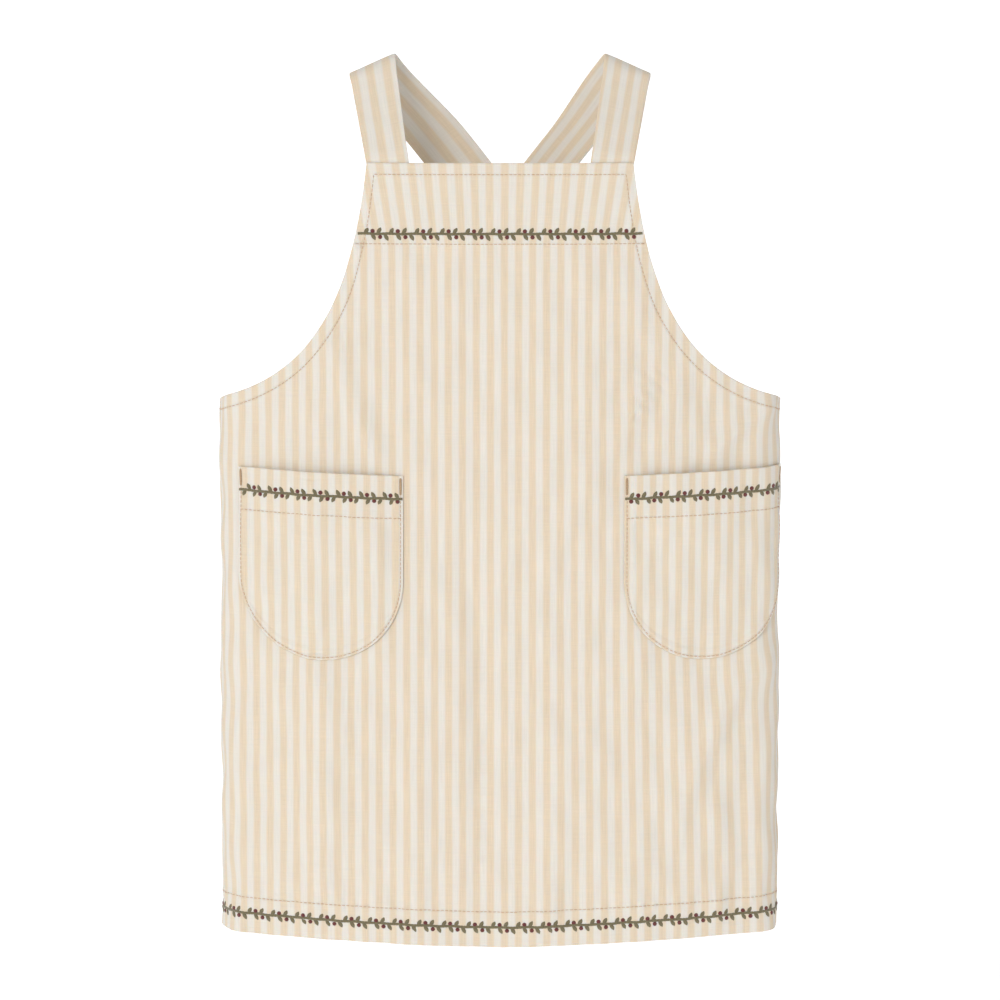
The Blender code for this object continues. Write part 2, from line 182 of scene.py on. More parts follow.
# Embroidery: where the stems run, how often the motif repeats, and where the first one lies.
BIB_VINE = BIB_TOP - 0.0475
POCKET_VINE_DROP = 0.0155
HEM_VINE = 0.0135
BIB_REPEAT = 0.01705
POCKET_REPEAT = 0.0156
HEM_REPEAT = 0.0168
BIB_VINE_START = 0.0856
POCKET_VINE_SHIFT = {"left": 0.0106 + 0.30 * POCKET_REPEAT, "right": 0.0086 - 0.30 * POCKET_REPEAT}
HEM_VINE_SHIFT = 0.0031
WING_VINE_SHIFT = 0.0095
STEM_HALF = 0.00090
LEAF_HALF = 0.00138
BERRY_HALF = 0.00148
GREEN_RISE = 0.00055
BERRY_RISE = 0.00075
STEM_SWAY = 0.00018
STEM_TWIST = 0.0021
LEAF_BOW = 0.0003
VINE_MARGIN = 0.0015

# One motif. Each leaf starts and ends at a share of the repeat, above (1) or below (-1) the stem,
# and reaches this far from it. Each berry has its share, its side and its distance.
LEAVES = (
    (-0.34, -0.18, 1, 0.0040),
    (0.16, 0.33, 1, 0.0042),
    (-0.07, 0.11, -1, 0.0043),
    (0.44, 0.62, -1, 0.0046),
)
BERRIES = ((0.0, 1, 0.0018), (0.30, -1, 0.0022))

# Soft folds in the hanging cloth: start, bend and end as (along, height), then width and rise.
# The last four are on the wings.
FOLDS = (
    ((-0.108, 0.430), (-0.110, 0.375), (-0.068, 0.318), 0.0085, 0.0018),
    ((-0.036, 0.315), (-0.001, 0.205), (-0.016, 0.020), 0.0085, -0.0019),
    ((0.118, 0.400), (0.056, 0.336), (0.014, 0.205), 0.0090, 0.0021),
    ((0.090, 0.410), (0.040, 0.350), (-0.010, 0.230), 0.0150, 0.0012),
    ((0.204, 0.380), (0.165, 0.354), (0.128, 0.330), 0.0065, 0.0014),
    ((0.208, 0.206), (0.138, 0.172), (0.116, 0.070), 0.0100, 0.0021),
    ((-0.129, 0.350), (-0.126, 0.250), (-0.129, 0.170), 0.0100, 0.0013),
    ((-0.124, 0.225), (-0.117, 0.114), (-0.126, -0.010), 0.0170, 0.0021),
    ((-0.084, 0.330), (-0.079, 0.250), (-0.084, 0.170), 0.0070, 0.0010),
    ((0.082, 0.480), (0.056, 0.444), (-0.004, 0.420), 0.0100, 0.0013),
    ((0.056, 0.170), (0.030, 0.080), (0.026, -0.020), 0.0120, 0.0012),
    ((0.160, 0.140), (0.168, 0.060), (0.156, -0.030), 0.0100, -0.0013),
    ((-0.062, 0.170), (-0.050, 0.090), (-0.064, -0.020), 0.0110, 0.0011),
    ((0.262, 0.330), (0.278, 0.180), (0.262, -0.030), 0.0130, 0.0026),
    ((-0.268, 0.320), (-0.254, 0.150), (-0.274, -0.030), 0.0140, 0.0027),
    ((0.318, 0.280), (0.304, 0.130), (0.314, -0.030), 0.0110, 0.0018),
    ((-0.316, 0.260), (-0.306, 0.110), (-0.314, -0.030), 0.0120, -0.0016),
)
MOST_DRAPE = 0.0050
FINE_DRAPE = 0.00016
FINE_WAVES = 7
PUCKER_REPEAT = 0.0093
PUCKER_RISE = 0.00022
SEAM_SINK = 0.00045

# The stage.
FLOOR_HALF = 30.0
LOW_WALL_LIGHT = 1.10
KEY_HEADING = (0.38, 1.0, -0.34)
CAMERA_DISTANCE = 5.0
CAMERA_LENS = 264.7
AIM_DROP = 0.0016

SIDES = (("left", -1), ("right", 1))


# The hanging cloth

def ease(value):
    """0 below 0, 1 above 1 and smooth between."""
    share = np.clip(value, 0.0, 1.0)
    return share * share * (3 - 2 * share)


def cloth_points(along, height, out=0.0):
    """Points on the middle of the plain cloth, or this far outside it."""
    along, height, out = np.broadcast_arrays(along, height, out)
    behind = np.abs(along) > SIDE_SEAM
    reach = np.where(behind, 2 * SIDE_SEAM - np.abs(along), np.abs(along))
    front_turn = np.clip((reach - FLAT_HALF) / FRONT_RADIUS, 0.0, FRONT_TURN)
    turn = front_turn + np.maximum((reach - FLAT_HALF - FRONT_ARC) / SIDE_RADIUS, 0.0)
    x = np.minimum(reach, FLAT_HALF) + (FRONT_RADIUS - SIDE_RADIUS) * np.sin(front_turn)
    x = x + (SIDE_RADIUS + out) * np.sin(turn)
    depth = HALF_DEPTH - FRONT_RADIUS + (FRONT_RADIUS - SIDE_RADIUS) * np.cos(front_turn)
    depth = depth + (SIDE_RADIUS + out) * np.cos(turn)
    return np.stack((np.copysign(x, along), np.where(behind, depth, -depth), height - HANG_HEIGHT), -1)


def fold_course(start, bend, end, steps=24):
    """Points along the curve of a fold."""
    start, bend, end = np.array(start), np.array(bend), np.array(end)
    share = np.linspace(0.0, 1.0, steps)[:, None]
    return (1 - share) ** 2 * start + 2 * share * (1 - share) * bend + share**2 * end


def drape(along, height):
    """How far the soft folds and the pull of the seams move the cloth outwards."""
    along, height = np.broadcast_arrays(along, height)
    place = np.stack((along, height), -1)
    total = np.zeros(along.shape)
    for start, bend, end, width, rise in FOLDS:
        course = fold_course(start, bend, end)
        gap = np.linalg.norm(place[..., None, :] - course, axis=-1)
        share = gap.argmin(-1) / (len(course) - 1)
        fade = ease(share * 3) * ease((1 - share) * 3)
        total += rise * fade * np.exp(-((gap.min(-1) / width) ** 2))
    for turn in range(FINE_WAVES):
        heading = 0.6 + 1.9 * turn
        wave = (15 + 6 * turn) * (math.cos(heading) * along + 0.6 * math.sin(heading) * height)
        total += FINE_DRAPE * np.sin(2 * math.pi * wave + 2.4 * turn)
    # The bib and the corners that hold the straps are pulled flat.
    total *= ease((BIB_TOP - 0.022 - height) / 0.050)
    near_edge = ease((np.abs(along) - WING_EDGE + 0.055) / 0.015)
    near_top = ease((height - WING_CORNER + 0.045) / 0.02)
    total *= 1 - near_edge * near_top
    # The hem's stitching puckers the cloth, and the side seams are sunk.
    ripple = np.sin(2 * math.pi * along / PUCKER_REPEAT + 2.0 * np.sin(along * 61))
    from_row = (height - hem_height(along) - HEM_ROW) / 0.0035
    total += PUCKER_RISE * ripple * np.exp(-(from_row**2))
    total -= SEAM_SINK * np.exp(-(((np.abs(along) - SIDE_SEAM) / 0.0015) ** 2))
    return np.clip(total * bpy.context.scene.apron_cloth.fold_depth, -MOST_DRAPE, MOST_DRAPE)


def draped(along, height, out=0.0):
    """Points on the hanging cloth with its folds, or this far outside it."""
    return cloth_points(along, height, out + drape(along, height))


def plan_depth(x):
    """How far the front or the back of the plan stands from the middle of the body, at this x."""
    swing = np.maximum(np.abs(x) - FLAT_HALF, 0.0)
    return HALF_DEPTH - FRONT_RADIUS + np.sqrt(FRONT_RADIUS**2 - swing**2)


def inside(plies, thickness):
    """Where the middle of a piece lies that is laid inside the cloth, over these other plies."""
    return -(CLOTH / 2 + sum(ply + GAP for ply in plies) + GAP + thickness / 2)


def armhole_point(share, inset=0.0):
    """The armhole edge on the +X side as (along, height), or a line this far inside it."""
    start = np.array((BIB_HALF, BIB_TOP))
    end = np.array((SIDE_SEAM, SEAM_TOP))
    leave = start + ARMHOLE_LEAVE
    arrive = end + ARMHOLE_ARRIVE
    share = np.asarray(share, float)[..., None]
    inset = np.asarray(inset, float)[..., None]
    rest = 1 - share
    edge = rest**3 * start + 3 * rest**2 * share * leave + 3 * rest * share**2 * arrive + share**3 * end
    course = rest**2 * (leave - start) + 2 * rest * share * (arrive - leave) + share**2 * (end - arrive)
    course = course / np.linalg.norm(course, axis=-1, keepdims=True)
    return edge + inset * np.stack((course[..., 1], -course[..., 0]), -1)


def armhole_at(height):
    """Half the width of the bib at this height."""
    shares = np.linspace(0.0, 1.0, 400)
    line = armhole_point(shares)
    return np.interp(-np.asarray(height), -line[:, 1], line[:, 0])


def hem_height(along):
    """The bottom edge, which rises a little from the centre front to the side seams."""
    reach = np.minimum(np.abs(along), SIDE_SEAM)
    swing = np.hypot(reach, HEM_ROUND) - HEM_ROUND
    return HEM_RISE * swing / (math.hypot(SIDE_SEAM, HEM_ROUND) - HEM_ROUND)


def wing_top(along):
    """The top edge of a wing, which falls from the side seam to the free edge."""
    share = (np.abs(along) - SIDE_SEAM) / (WING_EDGE - SIDE_SEAM)
    return SEAM_TOP + share * (WING_CORNER - SEAM_TOP)


def even_spots(line, step):
    """Points along a line at even distances, near this step apart, both ends among them."""
    line = np.asarray(line, float)
    travel = np.concatenate(([0.0], np.cumsum(np.linalg.norm(np.diff(line, axis=0), axis=1))))
    spots = np.linspace(0.0, travel[-1], max(int(round(travel[-1] / step)), 1) + 1)
    return np.stack([np.interp(spots, travel, column) for column in line.T], -1)


def gathered_shares(rows, tight=0.10):
    """Shares from 0 to 1 that lie closer together at both ends."""
    share = np.linspace(0.0, 1.0, rows + 1)
    return share - tight * np.sin(2 * math.pi * share)


# How the stripes lie on each piece, as (across the stripes, down the warp) in metres

def cut_of_cloth(along, height):
    """The stripes open out towards the top of the bib and swing a little on the skirt's +X side."""
    along, height = np.broadcast_arrays(along, height)
    opening = 1 + BIB_STRIPES_OPEN * np.clip((height - BIB_TOP + FACING_DEPTH) / FACING_DEPTH, 0.0, 1.0)
    swing = SKIRT_STRIPES_SWING * ease(along / 0.19) * ease((0.26 - height) / 0.26)
    return np.stack(((along - swing) / opening, height), -1)


# Making meshes

class Mesh:
    """Points, faces and the cut of the cloth, gathered until they become one object."""

    def __init__(self):
        self.points = []
        self.faces = []
        self.cut = []
        self.seams = []
        self.count = 0

    def add(self, points, faces, cut, seams=None):
        """faces is a list of arrays of point indices, cut one array of map points for each."""
        points = points.reshape(-1, 3)
        self.points.append(points)
        self.seams.append(np.full(len(points), 1.0) if seams is None else seams.ravel())
        for corners, spots in zip(faces, cut):
            self.faces.append(corners + self.count)
            self.cut.append(spots)
        self.count += len(points)

    def slab(self, outer, inner, cut, seams=None):
        """A ply of cloth between two grids of points, with a rounded edge all the way round."""
        rows, columns = outer.shape[:2]
        index = np.arange(rows * columns).reshape(rows, columns)
        ring = np.concatenate((index[0, :-1], index[:-1, -1], index[-1, :0:-1], index[:0:-1, 0]))
        flat_outer, flat_inner = outer.reshape(-1, 3), inner.reshape(-1, 3)
        middle = (flat_outer[ring] + flat_inner[ring]) / 2
        heading = np.roll(middle, -1, 0) - np.roll(middle, 1, 0)
        lean = np.cross(heading, flat_outer[ring] - flat_inner[ring])
        lean /= np.maximum(np.linalg.norm(lean, axis=1, keepdims=True), 1e-9)
        thickness = np.linalg.norm(flat_outer[ring] - flat_inner[ring], axis=1, keepdims=True)
        rim = middle + lean * thickness * 0.3
        size = rows * columns
        quads = np.stack((index[:-1, :-1], index[:-1, 1:], index[1:, 1:], index[1:, :-1]), -1)
        quads = quads.reshape(-1, 4)
        step = np.arange(len(ring))
        after = np.roll(step, -1)
        near = np.stack((ring[step], 2 * size + step, 2 * size + after, ring[after]), -1)
        far = np.stack((2 * size + step, size + ring[step], size + ring[after], 2 * size + after), -1)
        spots = cut.reshape(-1, 2)
        here, there = spots[ring[step]], spots[ring[after]]
        rim_spots = np.stack((here, here, there, there), 1)
        if seams is not None:
            seams = np.concatenate((seams.ravel(), seams.ravel(), seams.ravel()[ring]))
        self.add(
            np.concatenate((flat_outer, flat_inner, rim)),
            [quads, quads[:, ::-1] + size, near, far],
            [spots[quads], spots[quads[:, ::-1]], rim_spots, rim_spots],
            seams,
        )

    def threads(self, centres, ups, half_width, half_height, sides=6):
        """Closed threads, one for each row of centres, with the width and height of every ring."""
        batch, rings = centres.shape[:2]
        ahead = np.gradient(centres, axis=1)
        ahead /= np.linalg.norm(ahead, axis=-1, keepdims=True)
        across = np.cross(ahead, ups)
        across /= np.linalg.norm(across, axis=-1, keepdims=True)
        lift = np.cross(across, ahead)
        turn = 2 * math.pi * np.arange(sides) / sides
        half_width = np.broadcast_to(half_width, (batch, rings))[..., None, None]
        half_height = np.broadcast_to(half_height, (batch, rings))[..., None, None]
        points = centres[:, :, None] + across[:, :, None] * half_width * np.cos(turn)[:, None]
        points = points + lift[:, :, None] * half_height * np.sin(turn)[:, None]
        index = np.arange(batch * rings * sides).reshape(batch, rings, sides)
        beside = np.roll(index, -1, 2)
        quads = np.stack((index[:, :-1], index[:, 1:], beside[:, 1:], beside[:, :-1]), -1)
        travel = np.linalg.norm(np.diff(centres, axis=1), axis=-1).cumsum(1)
        travel = np.concatenate((np.zeros((batch, 1)), travel), 1)[:, :, None]
        round_share = np.arange(sides) / sides
        here = np.stack(np.broadcast_arrays(travel, round_share), -1)
        there = np.stack(np.broadcast_arrays(travel, round_share + 1 / sides), -1)
        spots = np.stack((here[:, :-1], here[:, 1:], there[:, 1:], there[:, :-1]), -2)
        caps = np.concatenate((index[:, 0], index[:, -1, ::-1]))
        cap_spots = np.zeros((*caps.shape, 2))
        self.add(points, [quads.reshape(-1, 4), caps], [spots.reshape(-1, 4, 2), cap_spots])

    def make(self, name, material):
        """The object, with its cut map and its distance from the stitching as an attribute."""
        points = np.concatenate(self.points)
        mesh = bpy.data.meshes.new(name)
        faces = [face for group in self.faces for face in group.tolist()]
        mesh.from_pydata(points.tolist(), [], faces)
        layer = mesh.uv_layers.new(name="cut")
        layer.data.foreach_set("uv", np.concatenate([spots.ravel() for spots in self.cut]))
        line = mesh.attributes.new("stitch_line", "FLOAT", "POINT")
        line.data.foreach_set("value", np.concatenate(self.seams))
        mesh.shade_smooth()
        mesh.materials.append(material)
        piece = bpy.data.objects.new(name, mesh)
        bpy.context.scene.collection.objects.link(piece)
        return piece


def finish_piece(piece, body, slot, *nodes):
    """Ride a piece of the front on the front's body, or apply the transform of a piece of any other
    body, and hide these nodes.
    """
    if body == "front":
        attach(piece, body)
    else:
        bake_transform(piece)
    if nodes:
        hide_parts(*nodes)
    return piece


def cloth_piece(mesh, name, body, *nodes):
    """A piece of the striped cotton, in place of these nodes."""
    return finish_piece(mesh.make(name, cotton()), body, "striped_cotton", *nodes)


def stitching(mesh, name, body):
    """Rows of topstitching, which stand for no node."""
    return finish_piece(mesh.make(name, topstitch_thread()), body, "striped_cotton")


# Materials

class Nodes:
    """A material's node tree, with short ways to add its nodes."""

    def __init__(self, name):
        self.material = bpy.data.materials.new(name)
        self.material.use_nodes = True
        self.tree = self.material.node_tree
        self.shader = self.tree.nodes["Principled BSDF"]

    def new(self, kind, **settings):
        node = self.tree.nodes.new("ShaderNode" + kind)
        for key, value in settings.items():
            setattr(node, key, value)
        return node

    def link(self, output, socket):
        self.tree.links.new(output, socket)

    def maths(self, operation, first, second=None, third=None):
        node = self.new("Math", operation=operation)
        for socket, value in zip(node.inputs, (first, second, third)):
            if isinstance(value, bpy.types.NodeSocket):
                self.link(value, socket)
            elif value is not None:
                socket.default_value = value
        return node.outputs[0]

    def spread(self, value, low, high, to_low=0.0, to_high=1.0, smooth=True):
        node = self.new("MapRange", interpolation_type="SMOOTHSTEP" if smooth else "LINEAR")
        self.link(value, node.inputs["Value"])
        node.inputs["From Min"].default_value = low
        node.inputs["From Max"].default_value = high
        node.inputs["To Min"].default_value = to_low
        node.inputs["To Max"].default_value = to_high
        return node.outputs["Result"]

    def mix(self, share, first, second):
        node = self.new("Mix", data_type="RGBA")
        sockets = (node.inputs[0], node.inputs[6], node.inputs[7])
        for socket, value in zip(sockets, (share, first, second)):
            if isinstance(value, bpy.types.NodeSocket):
                self.link(value, socket)
            else:
                socket.default_value = value
        return node.outputs[2]

    def cut(self):
        """The cut map, as across the stripes and down them."""
        spot = self.new("UVMap", uv_map="cut").outputs["UV"]
        parts = self.new("SeparateXYZ")
        self.link(spot, parts.inputs[0])
        return parts.outputs[0], parts.outputs[1]

    def noise(self, across, down, scale_across, scale_down, detail=2.0):
        place = self.new("CombineXYZ")
        self.link(self.maths("MULTIPLY", across, scale_across), place.inputs[0])
        self.link(self.maths("MULTIPLY", down, scale_down), place.inputs[1])
        node = self.new("TexNoise")
        node.inputs["Scale"].default_value = 1.0
        node.inputs["Detail"].default_value = detail
        self.link(place.outputs[0], node.inputs["Vector"])
        return node.outputs["Fac"]

    def bump(self, height, distance, strength=1.0, after=None):
        node = self.new("Bump")
        node.inputs["Strength"].default_value = strength
        node.inputs["Distance"].default_value = distance
        self.link(height, node.inputs["Height"])
        if after is not None:
            self.link(after, node.inputs["Normal"])
        return node.outputs["Normal"]


def shade(colour, factor):
    """The colour made this much lighter or darker."""
    return (*(min(channel * factor, 1.0) for channel in colour), 1.0)


def cotton():
    """Yarn-dyed cotton: soft-edged stripes, heathered yarns, a plain weave and sunk stitching."""
    name = "striped cotton"
    if name in bpy.data.materials:
        return bpy.data.materials[name]
    cloth = bpy.context.scene.apron_cloth
    nodes = Nodes(name)
    across, down = nodes.cut()
    sway = nodes.noise(across, down, 90, 14)
    place = nodes.maths("MULTIPLY_ADD", sway, 0.0011, across)
    place = nodes.maths("SUBTRACT", place, 0.00055 + cloth.stripe_shift)
    wave = nodes.maths("COSINE", nodes.maths("MULTIPLY", place, 2 * math.pi / cloth.stripe_repeat))
    yarn = nodes.noise(across, down, 1 / cloth.yarn_spacing, 45, 3.0)
    weft = nodes.noise(across, down, 45, 1 / cloth.yarn_spacing, 3.0)
    warp_share, weft_share = nodes.maths("MULTIPLY", yarn, 0.62), nodes.maths("MULTIPLY", weft, 0.38)
    speckle = nodes.maths("ADD", warp_share, weft_share)
    edge = nodes.maths("ADD", wave, nodes.spread(speckle, 0.3, 0.7, -0.35, 0.35, smooth=False))
    tan_share = nodes.spread(edge, -0.55, 0.55)
    tone = nodes.spread(speckle, 0.30, 0.70)
    tan = nodes.mix(tone, shade(cloth.tan_stripe, 0.93), shade(cloth.tan_stripe, 1.06))
    ivory = nodes.mix(tone, shade(cloth.ivory_stripe, 0.95), shade(cloth.ivory_stripe, 1.04))
    nodes.link(nodes.mix(tan_share, ivory, tan), nodes.shader.inputs["Base Color"])
    nodes.shader.inputs["Roughness"].default_value = 0.92
    nodes.shader.inputs["Specular IOR Level"].default_value = 0.25
    nodes.shader.inputs["Sheen Weight"].default_value = 0.12
    nodes.shader.inputs["Sheen Roughness"].default_value = 0.6
    # Thin cotton lets some warm light through.
    nodes.shader.inputs["Subsurface Weight"].default_value = 0.35
    nodes.shader.inputs["Subsurface Radius"].default_value = (1.0, 0.55, 0.3)
    nodes.shader.inputs["Subsurface Scale"].default_value = 0.0012
    pitch = 2 * math.pi / cloth.yarn_spacing
    warp = nodes.maths("SINE", nodes.maths("MULTIPLY", across, pitch))
    pick = nodes.maths("SINE", nodes.maths("MULTIPLY", down, pitch))
    weave = nodes.maths("MULTIPLY", warp, pick)
    relief = nodes.maths("MULTIPLY_ADD", weave, 0.35, nodes.maths("MULTIPLY", speckle, 1.6))
    woven = nodes.bump(relief, 0.00006)
    seam = nodes.new("Attribute", attribute_name="stitch_line").outputs["Fac"]
    groove = nodes.spread(seam, 0.0002, 0.0013)
    pucker_reach = nodes.spread(seam, 0.0008, 0.0060, 1.0, 0.0)
    pucker = nodes.maths("MULTIPLY", nodes.noise(across, down, 210, 210), pucker_reach)
    sewn = nodes.maths("MULTIPLY_ADD", pucker, 1.3, groove)
    nodes.link(nodes.bump(sewn, 0.00045, 0.6, woven), nodes.shader.inputs["Normal"])
    return nodes.material


def thread(name, colour, roughness, sheen, pitch):
    """Twisted or satin-stitched thread, with ridges this far apart."""
    if name in bpy.data.materials:
        return bpy.data.materials[name]
    nodes = Nodes(name)
    travel, round_share = nodes.cut()
    twist = nodes.maths("ADD", nodes.maths("DIVIDE", travel, pitch), round_share)
    ridge = nodes.maths("SINE", nodes.maths("MULTIPLY", twist, 2 * math.pi))
    fleck = nodes.noise(travel, round_share, 900, 3)
    # The colour follows the twist: lighter on the ridges and darker in the grooves between them, which
    # is painted shade. The fleck is the thread's own random tone.
    tone = nodes.maths("MULTIPLY_ADD", ridge, 0.18, fleck)
    hue_with_painted_groove_shade = nodes.mix(nodes.spread(tone, 0.25, 0.80), shade(colour, 0.72), shade(colour, 1.22))
    nodes.link(hue_with_painted_groove_shade, nodes.shader.inputs["Base Color"])
    nodes.shader.inputs["Roughness"].default_value = roughness
    nodes.shader.inputs["Sheen Weight"].default_value = sheen
    nodes.link(nodes.bump(ridge, 0.00006), nodes.shader.inputs["Normal"])
    return nodes.material


def topstitch_thread():
    return thread("topstitch thread", bpy.context.scene.apron_thread.topstitch, 0.75, 0.1, 0.0006)


def stem_thread():
    return thread("vine green thread", bpy.context.scene.apron_thread.stem_green, 0.55, 0.2, 0.00035)


def berry_thread():
    return thread("berry red thread", bpy.context.scene.apron_thread.berry_red, 0.50, 0.2, 0.00035)


def tack_thread():
    return thread("bar tack brown thread", bpy.context.scene.apron_thread.tack_brown, 0.6, 0.2, 0.0005)


# Rows of stitching

def sew(mesh, points, out):
    """Stitches along a line of points, each one a short thread that dips into the cloth."""
    cotton_thread = bpy.context.scene.apron_thread
    step = cotton_thread.stitch_length + cotton_thread.stitch_gap
    travel = np.concatenate(([0.0], np.cumsum(np.linalg.norm(np.diff(points, axis=0), axis=1))))
    count = max(int(travel[-1] / step), 1)
    starts = (np.arange(count) + 0.5) * travel[-1] / count
    rings = np.array((-0.50, -0.40, -0.18, 0.18, 0.40, 0.50))
    spots = starts[:, None] + rings * cotton_thread.stitch_length
    centres = np.stack([np.interp(spots, travel, column) for column in points.T], -1)
    ups = np.stack([np.interp(spots, travel, column) for column in out.T], -1)
    radius = cotton_thread.stitch_radius
    rise = radius * np.array((-0.9, 0.1, 0.75, 0.75, 0.1, -0.9))
    girth = radius * np.array((0.45, 0.9, 1.0, 1.0, 0.9, 0.45))
    mesh.threads(centres + ups * rise[:, None], ups, girth, girth * 0.9, sides=5)


def sew_on_cloth(mesh, line, offset):
    """A row on the cloth along this line of (along, height), on its outside or its inside."""
    line = even_spots(line, 0.0015)
    points = draped(line[:, 0], line[:, 1], offset)
    beyond = draped(line[:, 0], line[:, 1], offset + math.copysign(0.001, offset))
    sew(mesh, points, (beyond - points) * 1000)


def armhole_row():
    """One row of stitching from a side seam up the armhole, across the bib and down again."""
    shares = np.linspace(0.0, 1.0, 160)
    line = armhole_point(shares, np.interp(shares, (0.0, 0.35), ARMHOLE_ROW))
    line = line[line[:, 1] < BIB_TOP - BIB_ROW_DROP]
    corner = np.array([(line[0, 0] - 0.0003, BIB_TOP - BIB_ROW_DROP)])
    right = np.concatenate((corner, line))
    return np.concatenate((right[::-1] * (-1, 1), right))


def facing_row():
    """The row that holds the lower edge of the facing."""
    half = armhole_at(FACING_ROW) - 0.0010
    return np.array(((-half, FACING_ROW), (half, FACING_ROW)))


def hem_row(start, end):
    """The row that holds the bottom hem, from start to end along the cloth."""
    along = np.linspace(start, end, 120)
    return np.stack((along, hem_height(along) + HEM_ROW), -1)


def distance_to(line, along, height):
    """How far each place is from the nearest point of a line."""
    line = even_spots(line, 0.002)
    place = np.stack((along, height), -1).reshape(-1, 2)
    found = np.full(len(place), 1.0)
    starts, ends = line[:-1], line[1:]
    course = ends - starts
    lengths = (course**2).sum(1)
    for start in range(0, len(place), 4000):
        some = place[start:start + 4000, None] - starts
        share = np.clip((some * course).sum(-1) / lengths, 0.0, 1.0)
        found[start:start + 4000] = np.linalg.norm(some - share[..., None] * course, axis=-1).min(1)
    return found.reshape(along.shape)


# The front

def front_columns():
    """The top of every column of the front's grid, as (along, height), from left to right."""
    bib = even_spots(((0.0, BIB_TOP), (BIB_HALF, BIB_TOP)), 0.0026)[:-1]
    armhole = even_spots(armhole_point(np.linspace(0.0, 1.0, 300)), 0.0022)
    half = np.concatenate((bib, armhole))
    return np.concatenate((half[:0:-1] * (-1, 1), half))


def cloth_ply(mesh, along, height, middle, thickness, rows_of_stitching=()):
    """A ply on this grid of the cloth, with its middle and thickness given as offsets."""
    along, height = np.broadcast_arrays(along, height)
    seams = None
    if rows_of_stitching:
        seams = np.min([distance_to(line, along, height) for line in rows_of_stitching], axis=0)
    outer = draped(along, height, middle + thickness / 2)
    inner = draped(along, height, middle - thickness / 2)
    mesh.slab(outer, inner, cut_of_cloth(along, height), seams)


def make_front():
    """The skirt and the bib in one."""
    tops = front_columns()
    share = gathered_shares(150)[:, None]
    along = np.broadcast_to(tops[:, 0], (len(share), len(tops)))
    bottom = hem_height(tops[:, 0])
    height = bottom + share * (tops[:, 1] - bottom)
    rows = [armhole_row(), facing_row(), hem_row(-SIDE_SEAM, SIDE_SEAM)]
    mesh = Mesh()
    cloth_ply(mesh, along, height, 0.0, CLOTH, rows)
    return cloth_piece(mesh, "front_cloth", "front", "front_panel")


def make_facing():
    """The facing lies flat on the bib, and over the ends of the straps near its top corners."""
    height = BIB_TOP - 0.0004 - (FACING_DEPTH - 0.0004) * (1 - gathered_shares(40)[:, None])
    share = np.linspace(-1.0, 1.0, 121)
    along = share * (armhole_at(height) - 0.0006)
    past_side = np.abs(np.abs(along) - STRAP_BIB_CENTRE) - STRAP_BIB_WIDTH / 2
    past_end = BIB_TOP - STRAP_TUCK - height
    over_strap = ease((0.005 - past_side) / 0.004) * ease((0.005 - past_end) / 0.004)
    middle = -(CLOTH + TOUCH) - over_strap * (STRAP_CLOTH + 2 * GAP)
    mesh = Mesh()
    cloth_ply(mesh, along, height, middle, CLOTH, [armhole_row(), facing_row()])
    return cloth_piece(mesh, "facing_cloth", "front", "bib_facing")


def turned_hem(name, body, start, end, *nodes):
    """A deep hem turned up on the inside of the bottom edge."""
    columns = max(int(abs(end - start) / 0.0028), 8)
    along = np.broadcast_to(np.linspace(start, end, columns + 1), (15, columns + 1))
    low = hem_height(along) + SHY
    high = hem_height(along) + HEM_DEPTH
    height = low + (high - low) * gathered_shares(14)[:, None]
    mesh = Mesh()
    cloth_ply(mesh, along, height, TURNED, FOLD, [hem_row(start, end)])
    return cloth_piece(mesh, name, body, *nodes)


def make_armhole_turning(side, sign):
    """The narrow turned edge of an armhole, from the side seam up to the facing."""
    shares = np.linspace(0.0, 1.0, 300)
    edge = armhole_point(shares)
    shares = shares[edge[:, 1] < BIB_TOP - FACING_DEPTH - 0.0005]
    columns = 90
    shares = np.interp(np.linspace(0, len(shares) - 1, columns), np.arange(len(shares)), shares)
    inset = SHY + EDGE_HEM * gathered_shares(10)[:, None]
    grid = (len(inset), columns)
    line = armhole_point(np.broadcast_to(shares, grid), np.broadcast_to(inset, grid))
    along = sign * np.minimum(line[..., 0], SIDE_SEAM - SHY)
    mesh = Mesh()
    cloth_ply(mesh, along, line[..., 1], TURNED, FOLD, [armhole_row()])
    name = side + "_armhole_turning"
    return cloth_piece(mesh, name, "front", side + "_armhole_hem")


# The pockets

def pocket_points(sign, across, depth, out=0.0):
    """Points this far below the pocket's mouth. across runs from -1 to 1 towards +X."""
    across, depth = np.broadcast_arrays(across, depth)
    along = sign * POCKET_CENTRE + POCKET_SHIFT + across * POCKET_WIDTH / 2
    height = POCKET_MOUTH + sign * across * POCKET_SLANT - depth
    fall = np.clip(depth / POCKET_HEIGHT, 0.0, 1.0)
    stand = CLOTH + 0.0001 + POCKET_EASE * (1 - across**2) * (1 - fall**2)
    edge = np.minimum((1 - np.abs(across)) * POCKET_WIDTH / 2, pocket_floor(across) - depth)
    stand = stand + 0.0005 * ease((0.0075 - edge) / 0.0015)
    return draped(along, height, stand + out)


def pocket_floor(across):
    """How far below the mouth the round bottom lies."""
    return POCKET_HEIGHT - POCKET_WIDTH / 2 * (1 - np.sqrt(np.maximum(1 - across**2, 0.0)))


def pocket_cut(side, across, depth):
    """How the stripes lie on a pocket. Those of the right one are crowded."""
    across, depth = np.broadcast_arrays(across, depth)
    crowding = bpy.context.scene.apron_cloth.pocket_stripe_crowding if side == "right" else 1.0
    spread = across * POCKET_WIDTH / 2 * crowding
    return np.stack((spread + POCKET_STRIPES[side], -depth), -1)


